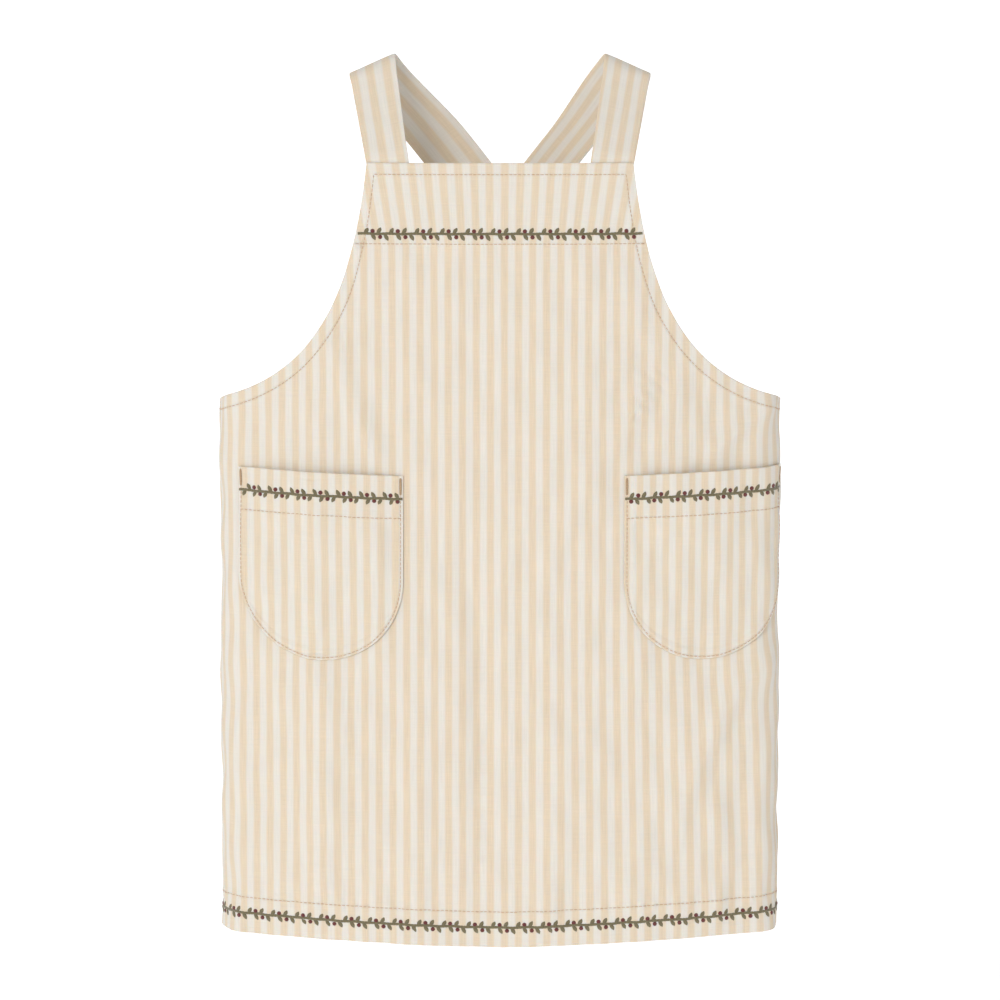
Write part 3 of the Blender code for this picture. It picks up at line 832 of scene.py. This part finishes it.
def pocket_u():
    """The row of stitching round a pocket, as (across, depth), from one end of the mouth down."""
    radius = POCKET_WIDTH / 2
    reach = 1 - POCKET_ROW / radius
    side_end = POCKET_HEIGHT - radius
    turn = np.linspace(0.0, math.pi, 60)
    bottom = np.stack((reach * np.cos(turn), side_end + radius * reach * np.sin(turn)), -1)
    return np.concatenate((((reach, 0.0012),), bottom, ((-reach, 0.0012),)))


def pocket_hem_row():
    """The row that holds the turned mouth, as (across, depth)."""
    return np.array(((-0.985, POCKET_HEM_ROW), (0.985, POCKET_HEM_ROW)))


def sew_on_pocket(mesh, sign, line, offset):
    """A row on a pocket along this line of (across, depth)."""
    metres = np.array((POCKET_WIDTH / 2, 1.0))
    line = even_spots(np.asarray(line) * metres, 0.0015) / metres
    points = pocket_points(sign, line[:, 0], line[:, 1], offset)
    beyond = pocket_points(sign, line[:, 0], line[:, 1], offset + 0.001)
    sew(mesh, points, (beyond - points) * 1000)


def make_pocket(side, sign):
    """A patch pocket, and the hem turned in at its mouth."""
    across = np.sin(math.pi * (np.linspace(0.0, 1.0, 81) - 0.5))[None]
    depth = pocket_floor(across) * gathered_shares(64)[::-1, None]
    across = np.broadcast_to(across, depth.shape)
    metres = POCKET_WIDTH / 2
    rows = [pocket_u() * (metres, 1), pocket_hem_row() * (metres, 1)]
    seams = np.min([distance_to(line, across * metres, depth) for line in rows], axis=0)
    mesh = Mesh()
    mesh.slab(
        pocket_points(sign, across, depth, CLOTH / 2),
        pocket_points(sign, across, depth, -CLOTH / 2),
        pocket_cut(side, across, depth),
        seams,
    )
    name = side + "_pocket_cloth"
    pocket = cloth_piece(mesh, name, "front", side + "_pocket")
    # The hem ends where the pocket comes too close to the front for another ply.
    depth = SHY + (POCKET_HEM - SHY) * gathered_shares(12)[::-1, None]
    reach = math.sqrt(1 - 0.0028 / POCKET_EASE)
    across = np.broadcast_to(np.linspace(-reach, reach, 49), (13, 49))
    depth = np.broadcast_to(depth, across.shape)
    hem = Mesh()
    hem.slab(
        pocket_points(sign, across, depth, -CLOTH / 2 - TOUCH),
        pocket_points(sign, across, depth, -CLOTH * 1.5),
        pocket_cut(side, across, depth),
        distance_to(rows[1], across * metres, depth),
    )
    name = side + "_pocket_turning"
    hem = cloth_piece(hem, name, "front", side + "_pocket_hem")
    return pocket, hem


def make_tacks(side, sign):
    """A bar tack at each end of the mouth: wraps of thread packed over a core."""
    wraps = np.arange(41)
    swell = 1 + 0.16 * np.cos(math.pi * wraps)
    taper = np.sqrt(np.clip(1 - np.abs(np.linspace(-1, 1, len(wraps))) ** 8, 0.05, 1.0))
    for where, end in (("outer", sign), ("inner", -sign)):
        across = end * (1 - 2 * TACK_INSET / POCKET_WIDTH)
        depth = np.linspace(*TACK_DEPTHS, len(wraps))
        centres = pocket_points(sign, across, depth, CLOTH / 2 + 0.0001)
        beyond = pocket_points(sign, across, depth, CLOTH / 2 + 0.0011)
        ups = (beyond - centres) * 1000
        mesh = Mesh()
        mesh.threads(centres[None], ups[None], TACK_HALF * swell * taper, TACK_RISE * taper, 8)
        node = f"{side}_pocket_{where}_tack"
        finish_piece(mesh.make(node + "_thread", tack_thread()), "front", "tack_thread", node)


# The straps

def strap_knots(sign):
    """Corners of the middle line of the strap that starts on the +X side of the bib.

    Each is x, y, z, width, the lean of its cross lines, and follow: 1 where the strap lies to the
    front of the plan, -1 where it lies to the back, and 0 at the shoulder.
    """
    fall = math.tan(STRAP_BACK_LEAN)
    crest_x = (SHOULDER - CROSSING) * fall
    crest_lean = (STRAP_FRONT_LEAN + STRAP_BACK_LEAN) / 2
    leg_y = HALF_DEPTH - sign * CROSSING_PLY
    leg_half = STRAP_WIDTH / math.sin(STRAP_BACK_LEAN)

    def front(height, lean):
        rise = (height - BIB_TOP) / (SHOULDER - BIB_TOP)
        share = max(rise, 0)
        x = STRAP_BIB_CENTRE + rise * (crest_x - STRAP_BIB_CENTRE)
        y = -plan_depth(x) - inside([], STRAP_CLOTH)
        width = STRAP_BIB_WIDTH + share * (STRAP_WIDTH - STRAP_BIB_WIDTH)
        return np.array((x, y, height, width, lean, 1 - share))

    def back(height, y, lean):
        follow = -min((SHOULDER - height) / (SHOULDER - CROSSING), 1)
        return np.array(((height - CROSSING) * fall, y, height, STRAP_WIDTH, lean, follow))

    def on_wing(height):
        depth = plan_depth((height - CROSSING) * fall) + inside([FOLD], STRAP_CLOTH)
        return back(height, depth, 0.0)

    brow = front(SHOULDER, crest_lean)
    brow[1] = -CREST_HALF
    nape = back(SHOULDER, CREST_HALF, crest_lean)
    leaves = front(BIB_TOP + STRAP_STAND, STRAP_FRONT_LEAN)
    lands = back(CROSSING + leg_half, leg_y, STRAP_BACK_LEAN)
    return [
        front(BIB_TOP - STRAP_TUCK, 0.0),
        front(BIB_TOP, 0.0),
        leaves,
        leaves + CREST_TIGHTNESS * (brow - leaves),
        brow,
        nape,
        lands + CREST_TIGHTNESS * (nape - lands),
        lands,
        back(CROSSING, leg_y, STRAP_BACK_LEAN),
        back(CROSSING - leg_half, leg_y, STRAP_BACK_LEAN),
        on_wing(STRAP_SPLIT),
        on_wing(WING_CORNER),
        on_wing(WING_CORNER - STRAP_TUCK),
    ]


def rounded(knots, rounds=3):
    """The line through the knots with its corners cut, so that it is smooth and never overshoots."""
    line = np.array(knots)
    for _ in range(rounds):
        near = 0.75 * line[:-1] + 0.25 * line[1:]
        far = 0.25 * line[:-1] + 0.75 * line[1:]
        between = np.stack((near, far), axis=1).reshape(-1, line.shape[1])
        line = np.vstack((line[:1], between[1:-1], line[-1:]))
    return line


def strap_grid(side, sign, shares):
    """Middle points of the strap, and how far across each lies, for these shares across it."""
    course = rounded(strap_knots(sign))
    steps = np.linalg.norm(np.diff(course[:, :3], axis=0), axis=1)
    travel = np.concatenate(([0.0], np.cumsum(steps)))
    spots = np.linspace(0.0, travel[-1], 171)
    course = np.stack([np.interp(spots, travel, column) for column in course.T], -1)
    heading = np.gradient(course[:, :3], axis=0)
    heading /= np.linalg.norm(heading, axis=1, keepdims=True)
    for _ in range(3):
        heading[1:-1] = (heading[:-2] + 2 * heading[1:-1] + heading[2:]) / 4
    x, width, lean, follow = course.T[[0, 3, 4, 5]]
    line = np.stack((-np.cos(lean), np.zeros(len(lean)), np.sin(lean)), -1)
    half = line * (width / 2 / np.linalg.norm(np.cross(line, heading), axis=1))[:, None]
    points = course[:, None, :3] + shares[:, None] * half[:, None]
    points[..., 1] -= follow[:, None] * (plan_depth(points[..., 0]) - plan_depth(x)[:, None])
    points[..., 0] *= sign
    sway = ease((SHOULDER - points[..., 2]) / 0.05) * ease((points[..., 2] - WING_CORNER) / 0.10)
    points[..., 0] += np.interp(shares, (-1, 1), STRAP_SWAY[side]) * sway * (points[..., 1] > 0)
    points[..., 2] -= HANG_HEIGHT
    cut = np.stack(np.broadcast_arrays(shares * width[:, None] / 2, spots[:, None]), -1)
    return points, cut


def make_strap(side, sign):
    """A strap folded from one strip, with a pressed edge on both sides."""
    half = np.array((0.25, 0.5, 0.7, 0.86, 0.93, 0.97, 1.0))
    shares = np.concatenate((-half[::-1], (0.0,), half))
    points, cut = strap_grid(side, sign, shares)
    down, across = np.gradient(points, axis=0), np.gradient(points, axis=1)
    normal = np.cross(across, down)
    normal *= sign / np.linalg.norm(normal, axis=-1, keepdims=True)
    plump = STRAP_CLOTH / 2 * (1 - 0.35 * np.abs(shares) ** 14)[:, None]
    down_strap = cut[..., 1:]
    wave = STRAP_WAVE * np.sin(down_strap * 410 + 2 * np.sin(down_strap * 90) + 3 * shares[:, None])
    wave = wave * ease(down_strap / 0.03) * (1 - ease((down_strap - cut[-1, 0, 1] + 0.06) / 0.03))
    mesh = Mesh()
    outer = points + normal * (plump + wave)
    inner = points - normal * (plump - wave)
    cloth = bpy.context.scene.apron_cloth
    repeat, shift = STRAP_STRIPES[side]
    cut = (cut - (shift, 0.0)) * (cloth.stripe_repeat / repeat, 1.0) + (cloth.stripe_shift, 0.0)
    edge = np.broadcast_to((1 - np.abs(shares)) * STRAP_WIDTH / 2, outer.shape[:2])
    mesh.slab(outer, inner, cut, edge + 0.0002)
    strap = mesh.make(side + "_strap_cloth", cotton())
    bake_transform(strap)
    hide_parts(side + "_strap", side + "_strap_tail")
    return strap


# The back wings

def wing_rows(sign):
    """The rows of stitching on a wing: its top, its free edge and its bottom hem."""
    free = WING_EDGE - WING_ROW - 0.0015
    along = np.linspace(SIDE_SEAM + 0.0005, free, 60)
    top = np.stack((sign * along, wing_top(along) - WING_ROW), -1)
    edge = np.array(((sign * free, wing_top(free) - WING_ROW), (sign * free, HEM_RISE + 0.0010)))
    return [np.concatenate((top, edge)), hem_row(sign * SIDE_SEAM, sign * (WING_EDGE - 0.0008))]


def make_wing(side, sign):
    """A back wing with its turned top, free edge and bottom."""
    body = side + "_wing"
    rows = wing_rows(sign)
    reach = SIDE_SEAM + (WING_EDGE - SIDE_SEAM) * gathered_shares(70, 0.06)
    along = np.broadcast_to(sign * reach, (121, len(reach)))
    low = hem_height(along)
    height = low + (wing_top(along) - low) * gathered_shares(120)[:, None]
    mesh = Mesh()
    cloth_ply(mesh, along, height, 0.0, CLOTH, rows)
    name = side + "_wing_cloth"
    wing = cloth_piece(mesh, name, body, side + "_back_wing")

    free = WING_EDGE - SHY
    reach = np.linspace(SIDE_SEAM + 0.0003, free - WING_EDGE_HEM, 41)
    along = np.broadcast_to(sign * reach, (11, len(reach)))
    height = wing_top(along) - SHY - EDGE_HEM * (1 - gathered_shares(10)[:, None])
    mesh = Mesh()
    cloth_ply(mesh, along, height, TURNED, FOLD, rows[:1])
    name = side + "_wing_top_turning"
    top = cloth_piece(mesh, name, body, side + "_wing_top_hem")

    reach = free - WING_EDGE_HEM * (1 - gathered_shares(10))
    along = np.broadcast_to(sign * reach, (101, len(reach)))
    low = HEM_RISE + HEM_DEPTH + 0.0001
    height = low + (wing_top(along) - SHY - low) * gathered_shares(100)[:, None]
    mesh = Mesh()
    cloth_ply(mesh, along, height, TURNED, FOLD, rows[:1])
    name = side + "_wing_edge_turning"
    edge = cloth_piece(mesh, name, body, side + "_wing_edge_hem")

    name = side + "_wing_bottom_turning"
    bottom = turned_hem(name, body, sign * SIDE_SEAM, sign * free, side + "_wing_hem_fold")
    return wing, top, edge, bottom


# Embroidery

def vine(where, body, place, length, repeat, shift, turned=False, mirrored=False):
    """A stem with pairs of leaves and berries above and below it, laid on the cloth by place.

    place(travel, rise, out) gives points for a distance along the stem and a rise above it. A turned
    motif is rotated half a turn, and a mirrored one is flipped from left to right after that.
    """
    green, red = Mesh(), Mesh()
    flip_along = (-1 if turned else 1) * (-1 if mirrored else 1)
    flip_rise = -1 if turned else 1
    lift = CLOTH / 2

    def lay(mesh, line, half_width, half_height, sides=8):
        points = place(line[:, 0], line[:, 1], lift)
        beyond = place(line[:, 0], line[:, 1], lift + 0.001)
        mesh.threads(points[None], ((beyond - points) * 1000)[None], half_width, half_height, sides)

    travel = np.linspace(0.0, length, int(length / 0.0007))
    sway = STEM_SWAY * np.sin(2 * math.pi * travel / repeat)
    twist = 1 + 0.10 * np.sin(2 * math.pi * travel / STEM_TWIST)
    lay(green, np.stack((travel, sway), -1), STEM_HALF * twist, GREEN_RISE * twist)

    share = np.linspace(0.0, 1.0, 11)
    leaf_width = np.sin(math.pi * np.clip(share, 0.015, 0.985)) ** 0.75
    turn_share = np.linspace(-1.0, 1.0, 9)
    ball = np.sqrt(1 - 0.97 * turn_share**2)
    for count in range(-1, int(length / repeat) + 2):
        base = shift % repeat + count * repeat
        for leaf_start, leaf_end, side_up, height in LEAVES:
            start = np.array((base + flip_along * leaf_start * repeat, 0.0))
            end = np.array((base + flip_along * leaf_end * repeat, flip_rise * side_up * height))
            if min(start[0], end[0]) <= VINE_MARGIN or max(start[0], end[0]) >= length - VINE_MARGIN:
                continue
            line = start + share[:, None] * (end - start)
            bow = LEAF_BOW * np.sin(math.pi * share) * flip_along
            line = line + np.stack((bow, np.zeros(len(bow))), -1)
            lay(green, line, LEAF_HALF * leaf_width, GREEN_RISE * leaf_width)
        for centre, side_up, rise in BERRIES:
            spot = np.array((base + flip_along * centre * repeat, flip_rise * side_up * rise))
            if not VINE_MARGIN < spot[0] < length - VINE_MARGIN:
                continue
            line = spot + turn_share[:, None] * (BERRY_HALF * 0.98, 0.0)
            lay(red, line, BERRY_HALF * ball, BERRY_RISE * ball, 10)
    stem = green.make(where + "_vine_embroidery", stem_thread())
    finish_piece(stem, body, "vine_thread", where + "_vine")
    finish_piece(red.make(where + "_berries_embroidery", berry_thread()), body, "vine_thread")


def make_vines():
    """The vines across the bib and the pockets and along the hem."""
    half = armhole_at(BIB_VINE) - 0.0012

    def on_bib(travel, rise, out):
        return draped(travel - half, BIB_VINE + rise, out)

    vine("bib", "front", on_bib, 2 * half, BIB_REPEAT, half - BIB_VINE_START)

    reach = POCKET_WIDTH / 2 - 0.0002
    for side, sign in SIDES:

        def on_pocket(travel, rise, out, sign=sign):
            across = (travel - reach) / (POCKET_WIDTH / 2)
            return pocket_points(sign, across, POCKET_VINE_DROP - rise, out)

        shift = POCKET_VINE_SHIFT[side]
        mirrored = side == "right"
        vine(side + "_pocket", "front", on_pocket, 2 * reach, POCKET_REPEAT, shift, True, mirrored)

    def on_hem(sign, start):
        def place(travel, rise, out):
            along = start + sign * travel
            return draped(along, hem_height(along) + HEM_VINE + rise, out)
        return place

    vine("front_hem", "front", on_hem(1, -SIDE_SEAM), 2 * SIDE_SEAM, HEM_REPEAT, HEM_VINE_SHIFT)
    length = WING_EDGE - SIDE_SEAM - 0.0010
    for side, sign in SIDES:
        place = on_hem(sign, sign * SIDE_SEAM)
        body = side + "_wing"
        vine(body + "_hem", body, place, length, HEM_REPEAT, WING_VINE_SHIFT, False, side == "left")


# Topstitching

def make_topstitching():
    """Every row that shows on the outside, and the same rows where they come out inside."""
    outer, inner = Mesh(), Mesh()
    turned = -(CLOTH / 2 + FOLD + 2 * TOUCH)
    faced = -(CLOTH * 1.5 + 2 * TOUCH)
    upper = armhole_row()
    sew_on_cloth(outer, upper, CLOTH / 2)
    for sign in (-1, 1):
        on_turning = upper[:, 1] < BIB_TOP - FACING_DEPTH - 0.001
        sew_on_cloth(inner, upper[on_turning & (upper[:, 0] * sign > 0)], turned)
        below_strap = upper[:, 1] < BIB_TOP - STRAP_TUCK - 0.006
        on_facing = (upper[:, 1] > BIB_TOP - FACING_DEPTH) & below_strap
        sew_on_cloth(inner, upper[on_facing & (upper[:, 0] * sign > 0)], faced)
    middle = STRAP_BIB_CENTRE - STRAP_BIB_WIDTH / 2 - 0.006
    drop = BIB_TOP - BIB_ROW_DROP
    sew_on_cloth(inner, ((-middle, drop), (middle, drop)), faced)
    sew_on_cloth(outer, facing_row(), CLOTH / 2)
    sew_on_cloth(inner, facing_row(), faced)
    sew_on_cloth(outer, hem_row(-SIDE_SEAM, SIDE_SEAM), CLOTH / 2)
    sew_on_cloth(inner, hem_row(-SIDE_SEAM, SIDE_SEAM), turned)
    stitching(outer, "front_topstitching", "front")
    stitching(inner, "front_inside_stitching", "front")
    for side, sign in SIDES:
        pocket = Mesh()
        sew_on_pocket(pocket, sign, pocket_u(), CLOTH / 2)
        sew_on_pocket(pocket, sign, pocket_hem_row(), CLOTH / 2)
        stitching(pocket, side + "_pocket_stitching", "front")
        wing = Mesh()
        for line in wing_rows(sign):
            sew_on_cloth(wing, line, CLOTH / 2)
            sew_on_cloth(wing, line, turned)
        stitching(wing, side + "_wing_stitching", side + "_wing")


# The stage

def make_stage():
    """A white floor and walls of light, one soft key light from the upper left, and the camera."""
    settings = bpy.context.scene.apron_stage
    mesh = bpy.data.meshes.new("floor")
    level = -HANG_HEIGHT - settings.floor_drop
    corners = [(x * FLOOR_HALF, y * FLOOR_HALF, level) for x, y in ((-1, -1), (1, -1), (1, 1), (-1, 1))]
    mesh.from_pydata(corners, [], [(0, 1, 2, 3)])
    floor = bpy.data.objects.new("floor", mesh)
    nodes = Nodes("pale floor")
    nodes.shader.inputs["Base Color"].default_value = (0.93, 0.93, 0.93, 1.0)
    nodes.shader.inputs["Roughness"].default_value = 0.9
    nodes.shader.inputs["Emission Color"].default_value = (1.0, 1.0, 1.0, 1.0)
    nodes.shader.inputs["Emission Strength"].default_value = settings.floor_glow
    mesh.materials.append(nodes.material)
    bpy.context.scene.collection.objects.link(floor)

    world = bpy.data.worlds.new("soft studio light")
    world.use_nodes = True
    background = world.node_tree.nodes["Background"]
    background.inputs["Color"].default_value = (1.0, 1.0, 1.0, 1.0)
    # The walls near the floor are brighter than the rest, so that they don't end in a line.
    direction = world.node_tree.nodes.new("ShaderNodeTexCoord")
    parts = world.node_tree.nodes.new("ShaderNodeSeparateXYZ")
    world.node_tree.links.new(direction.outputs["Generated"], parts.inputs[0])
    glow = world.node_tree.nodes.new("ShaderNodeMapRange")
    glow.interpolation_type = "SMOOTHSTEP"
    glow.inputs["From Min"].default_value = 0.10
    glow.inputs["From Max"].default_value = 0.30
    glow.inputs["To Min"].default_value = LOW_WALL_LIGHT
    glow.inputs["To Max"].default_value = settings.fill_strength
    world.node_tree.links.new(parts.outputs["Z"], glow.inputs["Value"])
    world.node_tree.links.new(glow.outputs["Result"], background.inputs["Strength"])
    bpy.context.scene.world = world

    key = bpy.data.lights.new("key", "SUN")
    key.energy = settings.key_strength
    key.angle = settings.key_softness
    lamp = bpy.data.objects.new("key", key)
    lamp.rotation_euler = Vector(KEY_HEADING).to_track_quat("-Z", "Y").to_euler()
    bpy.context.scene.collection.objects.link(lamp)

    camera = bpy.data.cameras.new("camera")
    camera.sensor_width = 36.0
    camera.lens = CAMERA_LENS
    viewer = bpy.data.objects.new("camera", camera)
    low, high = (Vector(corner) for corner in CAD_BOX)
    aim = Vector((0.0, 0.0, (low.z + high.z) / 2 - AIM_DROP))
    tilt = settings.camera_height_angle
    viewer.location = aim + CAMERA_DISTANCE * Vector((0.0, -math.cos(tilt), math.sin(tilt)))
    viewer.rotation_euler = (math.pi / 2 - tilt, 0.0, 0.0)
    bpy.context.scene.collection.objects.link(viewer)
    bpy.context.scene.camera = viewer
    bpy.context.scene.view_settings.view_transform = "Standard"


# Settings that a user would change

def number(name, description, default, **kind):
    return FloatProperty(name=name, description=description, default=default, **kind)


def colour(name, description, default):
    kind = {"subtype": "COLOR", "size": 3, "min": 0.0, "max": 1.0}
    return FloatVectorProperty(name=name, description=description, default=default, **kind)


class ApronCloth(bpy.types.PropertyGroup):
    tan_stripe: colour("Tan stripe", "Colour of the darker stripe", (0.604, 0.506, 0.382))
    ivory_stripe: colour("Ivory stripe", "Colour of the paler stripe", (0.620, 0.585, 0.528))
    stripe_repeat: number(
        "Stripe repeat", "Distance from one tan stripe to the next", 0.00944, unit="LENGTH", min=0.001
    )
    stripe_shift: number(
        "Stripe shift", "Where the middle of a tan stripe lies at the front", 0.0030, unit="LENGTH"
    )
    pocket_stripe_crowding: number(
        "Pocket stripe crowding",
        "How much closer together the stripes lie on the right pocket",
        1.075,
        min=0.5,
        max=2.0,
    )
    yarn_spacing: number(
        "Yarn spacing", "Distance between neighbouring yarns", 0.00055, unit="LENGTH", min=0.0001
    )
    fold_depth: number(
        "Fold depth", "How deep the soft folds of the hanging cloth are", 1.9, min=0.0, max=2.0
    )


class ApronThread(bpy.types.PropertyGroup):
    topstitch: colour("Topstitching", "Colour of the topstitching thread", (0.54, 0.335, 0.21))
    stem_green: colour("Vine", "Colour of the stems and leaves", (0.160, 0.132, 0.064))
    berry_red: colour("Berries", "Colour of the berries", (0.125, 0.017, 0.013))
    tack_brown: colour("Bar tacks", "Colour of the pockets' bar tacks", (0.400, 0.265, 0.150))
    stitch_length: number("Stitch length", "Length of one stitch", 0.0024, unit="LENGTH", min=0.0005)
    stitch_gap: number("Stitch gap", "Distance between two stitches", 0.0006, unit="LENGTH", min=0.0)
    stitch_radius: number(
        "Thread radius", "Half the thickness of the thread", 0.00022, unit="LENGTH", min=0.00005
    )


class ApronStage(bpy.types.PropertyGroup):
    key_strength: number("Key light", "Strength of the light from the upper left front", 1.58, min=0.0)
    key_softness: number(
        "Key softness", "How wide the key light looks from the apron", math.radians(18), subtype="ANGLE"
    )
    floor_glow: number("Floor glow", "How brightly the lit floor shines", 0.45, min=0.0)
    fill_strength: number("Fill light", "Strength of the light from all round", 0.58, min=0.0)
    floor_drop: number("Floor drop", "How far the floor lies below the hem", 0.25, unit="LENGTH")
    camera_height_angle: number(
        "Camera elevation", "How far the camera looks down", math.radians(8), subtype="ANGLE"
    )


# One operator for each piece or group of like pieces

class APRON_OT_front(bpy.types.Operator):
    """Make the front panel, skirt and bib in one, with its turned hem and armhole edges"""

    bl_idname = "apron.front"
    bl_label = "Front panel"

    def execute(self, context):
        front = make_front()
        name = "front_bottom_turning"
        turnings = [turned_hem(name, "front", -SIDE_SEAM, SIDE_SEAM, "front_hem_fold")]
        turnings += [make_armhole_turning(side, sign) for side, sign in SIDES]
        return {"FINISHED"}


class APRON_OT_facing(bpy.types.Operator):
    """Make the facing inside the bib"""

    bl_idname = "apron.facing"
    bl_label = "Bib facing"

    def execute(self, context):
        facing = make_facing()
        return {"FINISHED"}


class APRON_OT_pockets(bpy.types.Operator):
    """Make the two patch pockets, their turned mouths and their bar tacks"""

    bl_idname = "apron.pockets"
    bl_label = "Pockets"

    def execute(self, context):
        for side, sign in SIDES:
            pocket, hem = make_pocket(side, sign)
            make_tacks(side, sign)
        return {"FINISHED"}


class APRON_OT_straps(bpy.types.Operator):
    """Make the two straps that cross at the back"""

    bl_idname = "apron.straps"
    bl_label = "Straps"

    def execute(self, context):
        for side, sign in SIDES:
            strap = make_strap(side, sign)
        return {"FINISHED"}


class APRON_OT_wings(bpy.types.Operator):
    """Make the two back wings and their turned edges"""

    bl_idname = "apron.wings"
    bl_label = "Back wings"

    def execute(self, context):
        for side, sign in SIDES:
            wing, *turnings = make_wing(side, sign)
        return {"FINISHED"}


class APRON_OT_topstitching(bpy.types.Operator):
    """Sew every row of topstitching"""

    bl_idname = "apron.topstitching"
    bl_label = "Topstitching"

    def execute(self, context):
        make_topstitching()
        return {"FINISHED"}


class APRON_OT_vines(bpy.types.Operator):
    """Embroider the vines on the bib, the pockets and the hem"""

    bl_idname = "apron.vines"
    bl_label = "Embroidered vines"

    def execute(self, context):
        make_vines()
        return {"FINISHED"}


class APRON_OT_stage(bpy.types.Operator):
    """Set up the floor, the light and the camera"""

    bl_idname = "apron.stage"
    bl_label = "Stage"

    def execute(self, context):
        make_stage()
        return {"FINISHED"}


PIECES = (
    APRON_OT_stage,
    APRON_OT_front,
    APRON_OT_facing,
    APRON_OT_pockets,
    APRON_OT_straps,
    APRON_OT_wings,
    APRON_OT_topstitching,
    APRON_OT_vines,
)
SETTINGS = (("apron_cloth", ApronCloth), ("apron_thread", ApronThread), ("apron_stage", ApronStage))


class APRON_PT_panel(bpy.types.Panel):
    """Buttons and settings of the apron"""

    bl_idname = "APRON_PT_panel"
    bl_label = "Cross-back apron"
    bl_space_type = "VIEW_3D"
    bl_region_type = "UI"
    bl_category = "Apron"

    def draw(self, context):
        for name, group in SETTINGS:
            box = self.layout.box()
            for key in group.__annotations__:
                box.prop(getattr(context.scene, name), key)
        for operator in PIECES:
            self.layout.operator(operator.bl_idname)


def register():
    for name, group in SETTINGS:
        bpy.utils.register_class(group)
        setattr(bpy.types.Scene, name, PointerProperty(type=group))
    for entry in (*PIECES, APRON_PT_panel):
        bpy.utils.register_class(entry)


def unregister():
    for entry in (APRON_PT_panel, *reversed(PIECES)):
        bpy.utils.unregister_class(entry)
    for name, group in reversed(SETTINGS):
        delattr(bpy.types.Scene, name)
        bpy.utils.unregister_class(group)


def main():
    register()
    for operator in PIECES:
        group, name = operator.bl_idname.split(".")
        getattr(getattr(bpy.ops, group), name)()


if __name__ == "__main__":
    main()
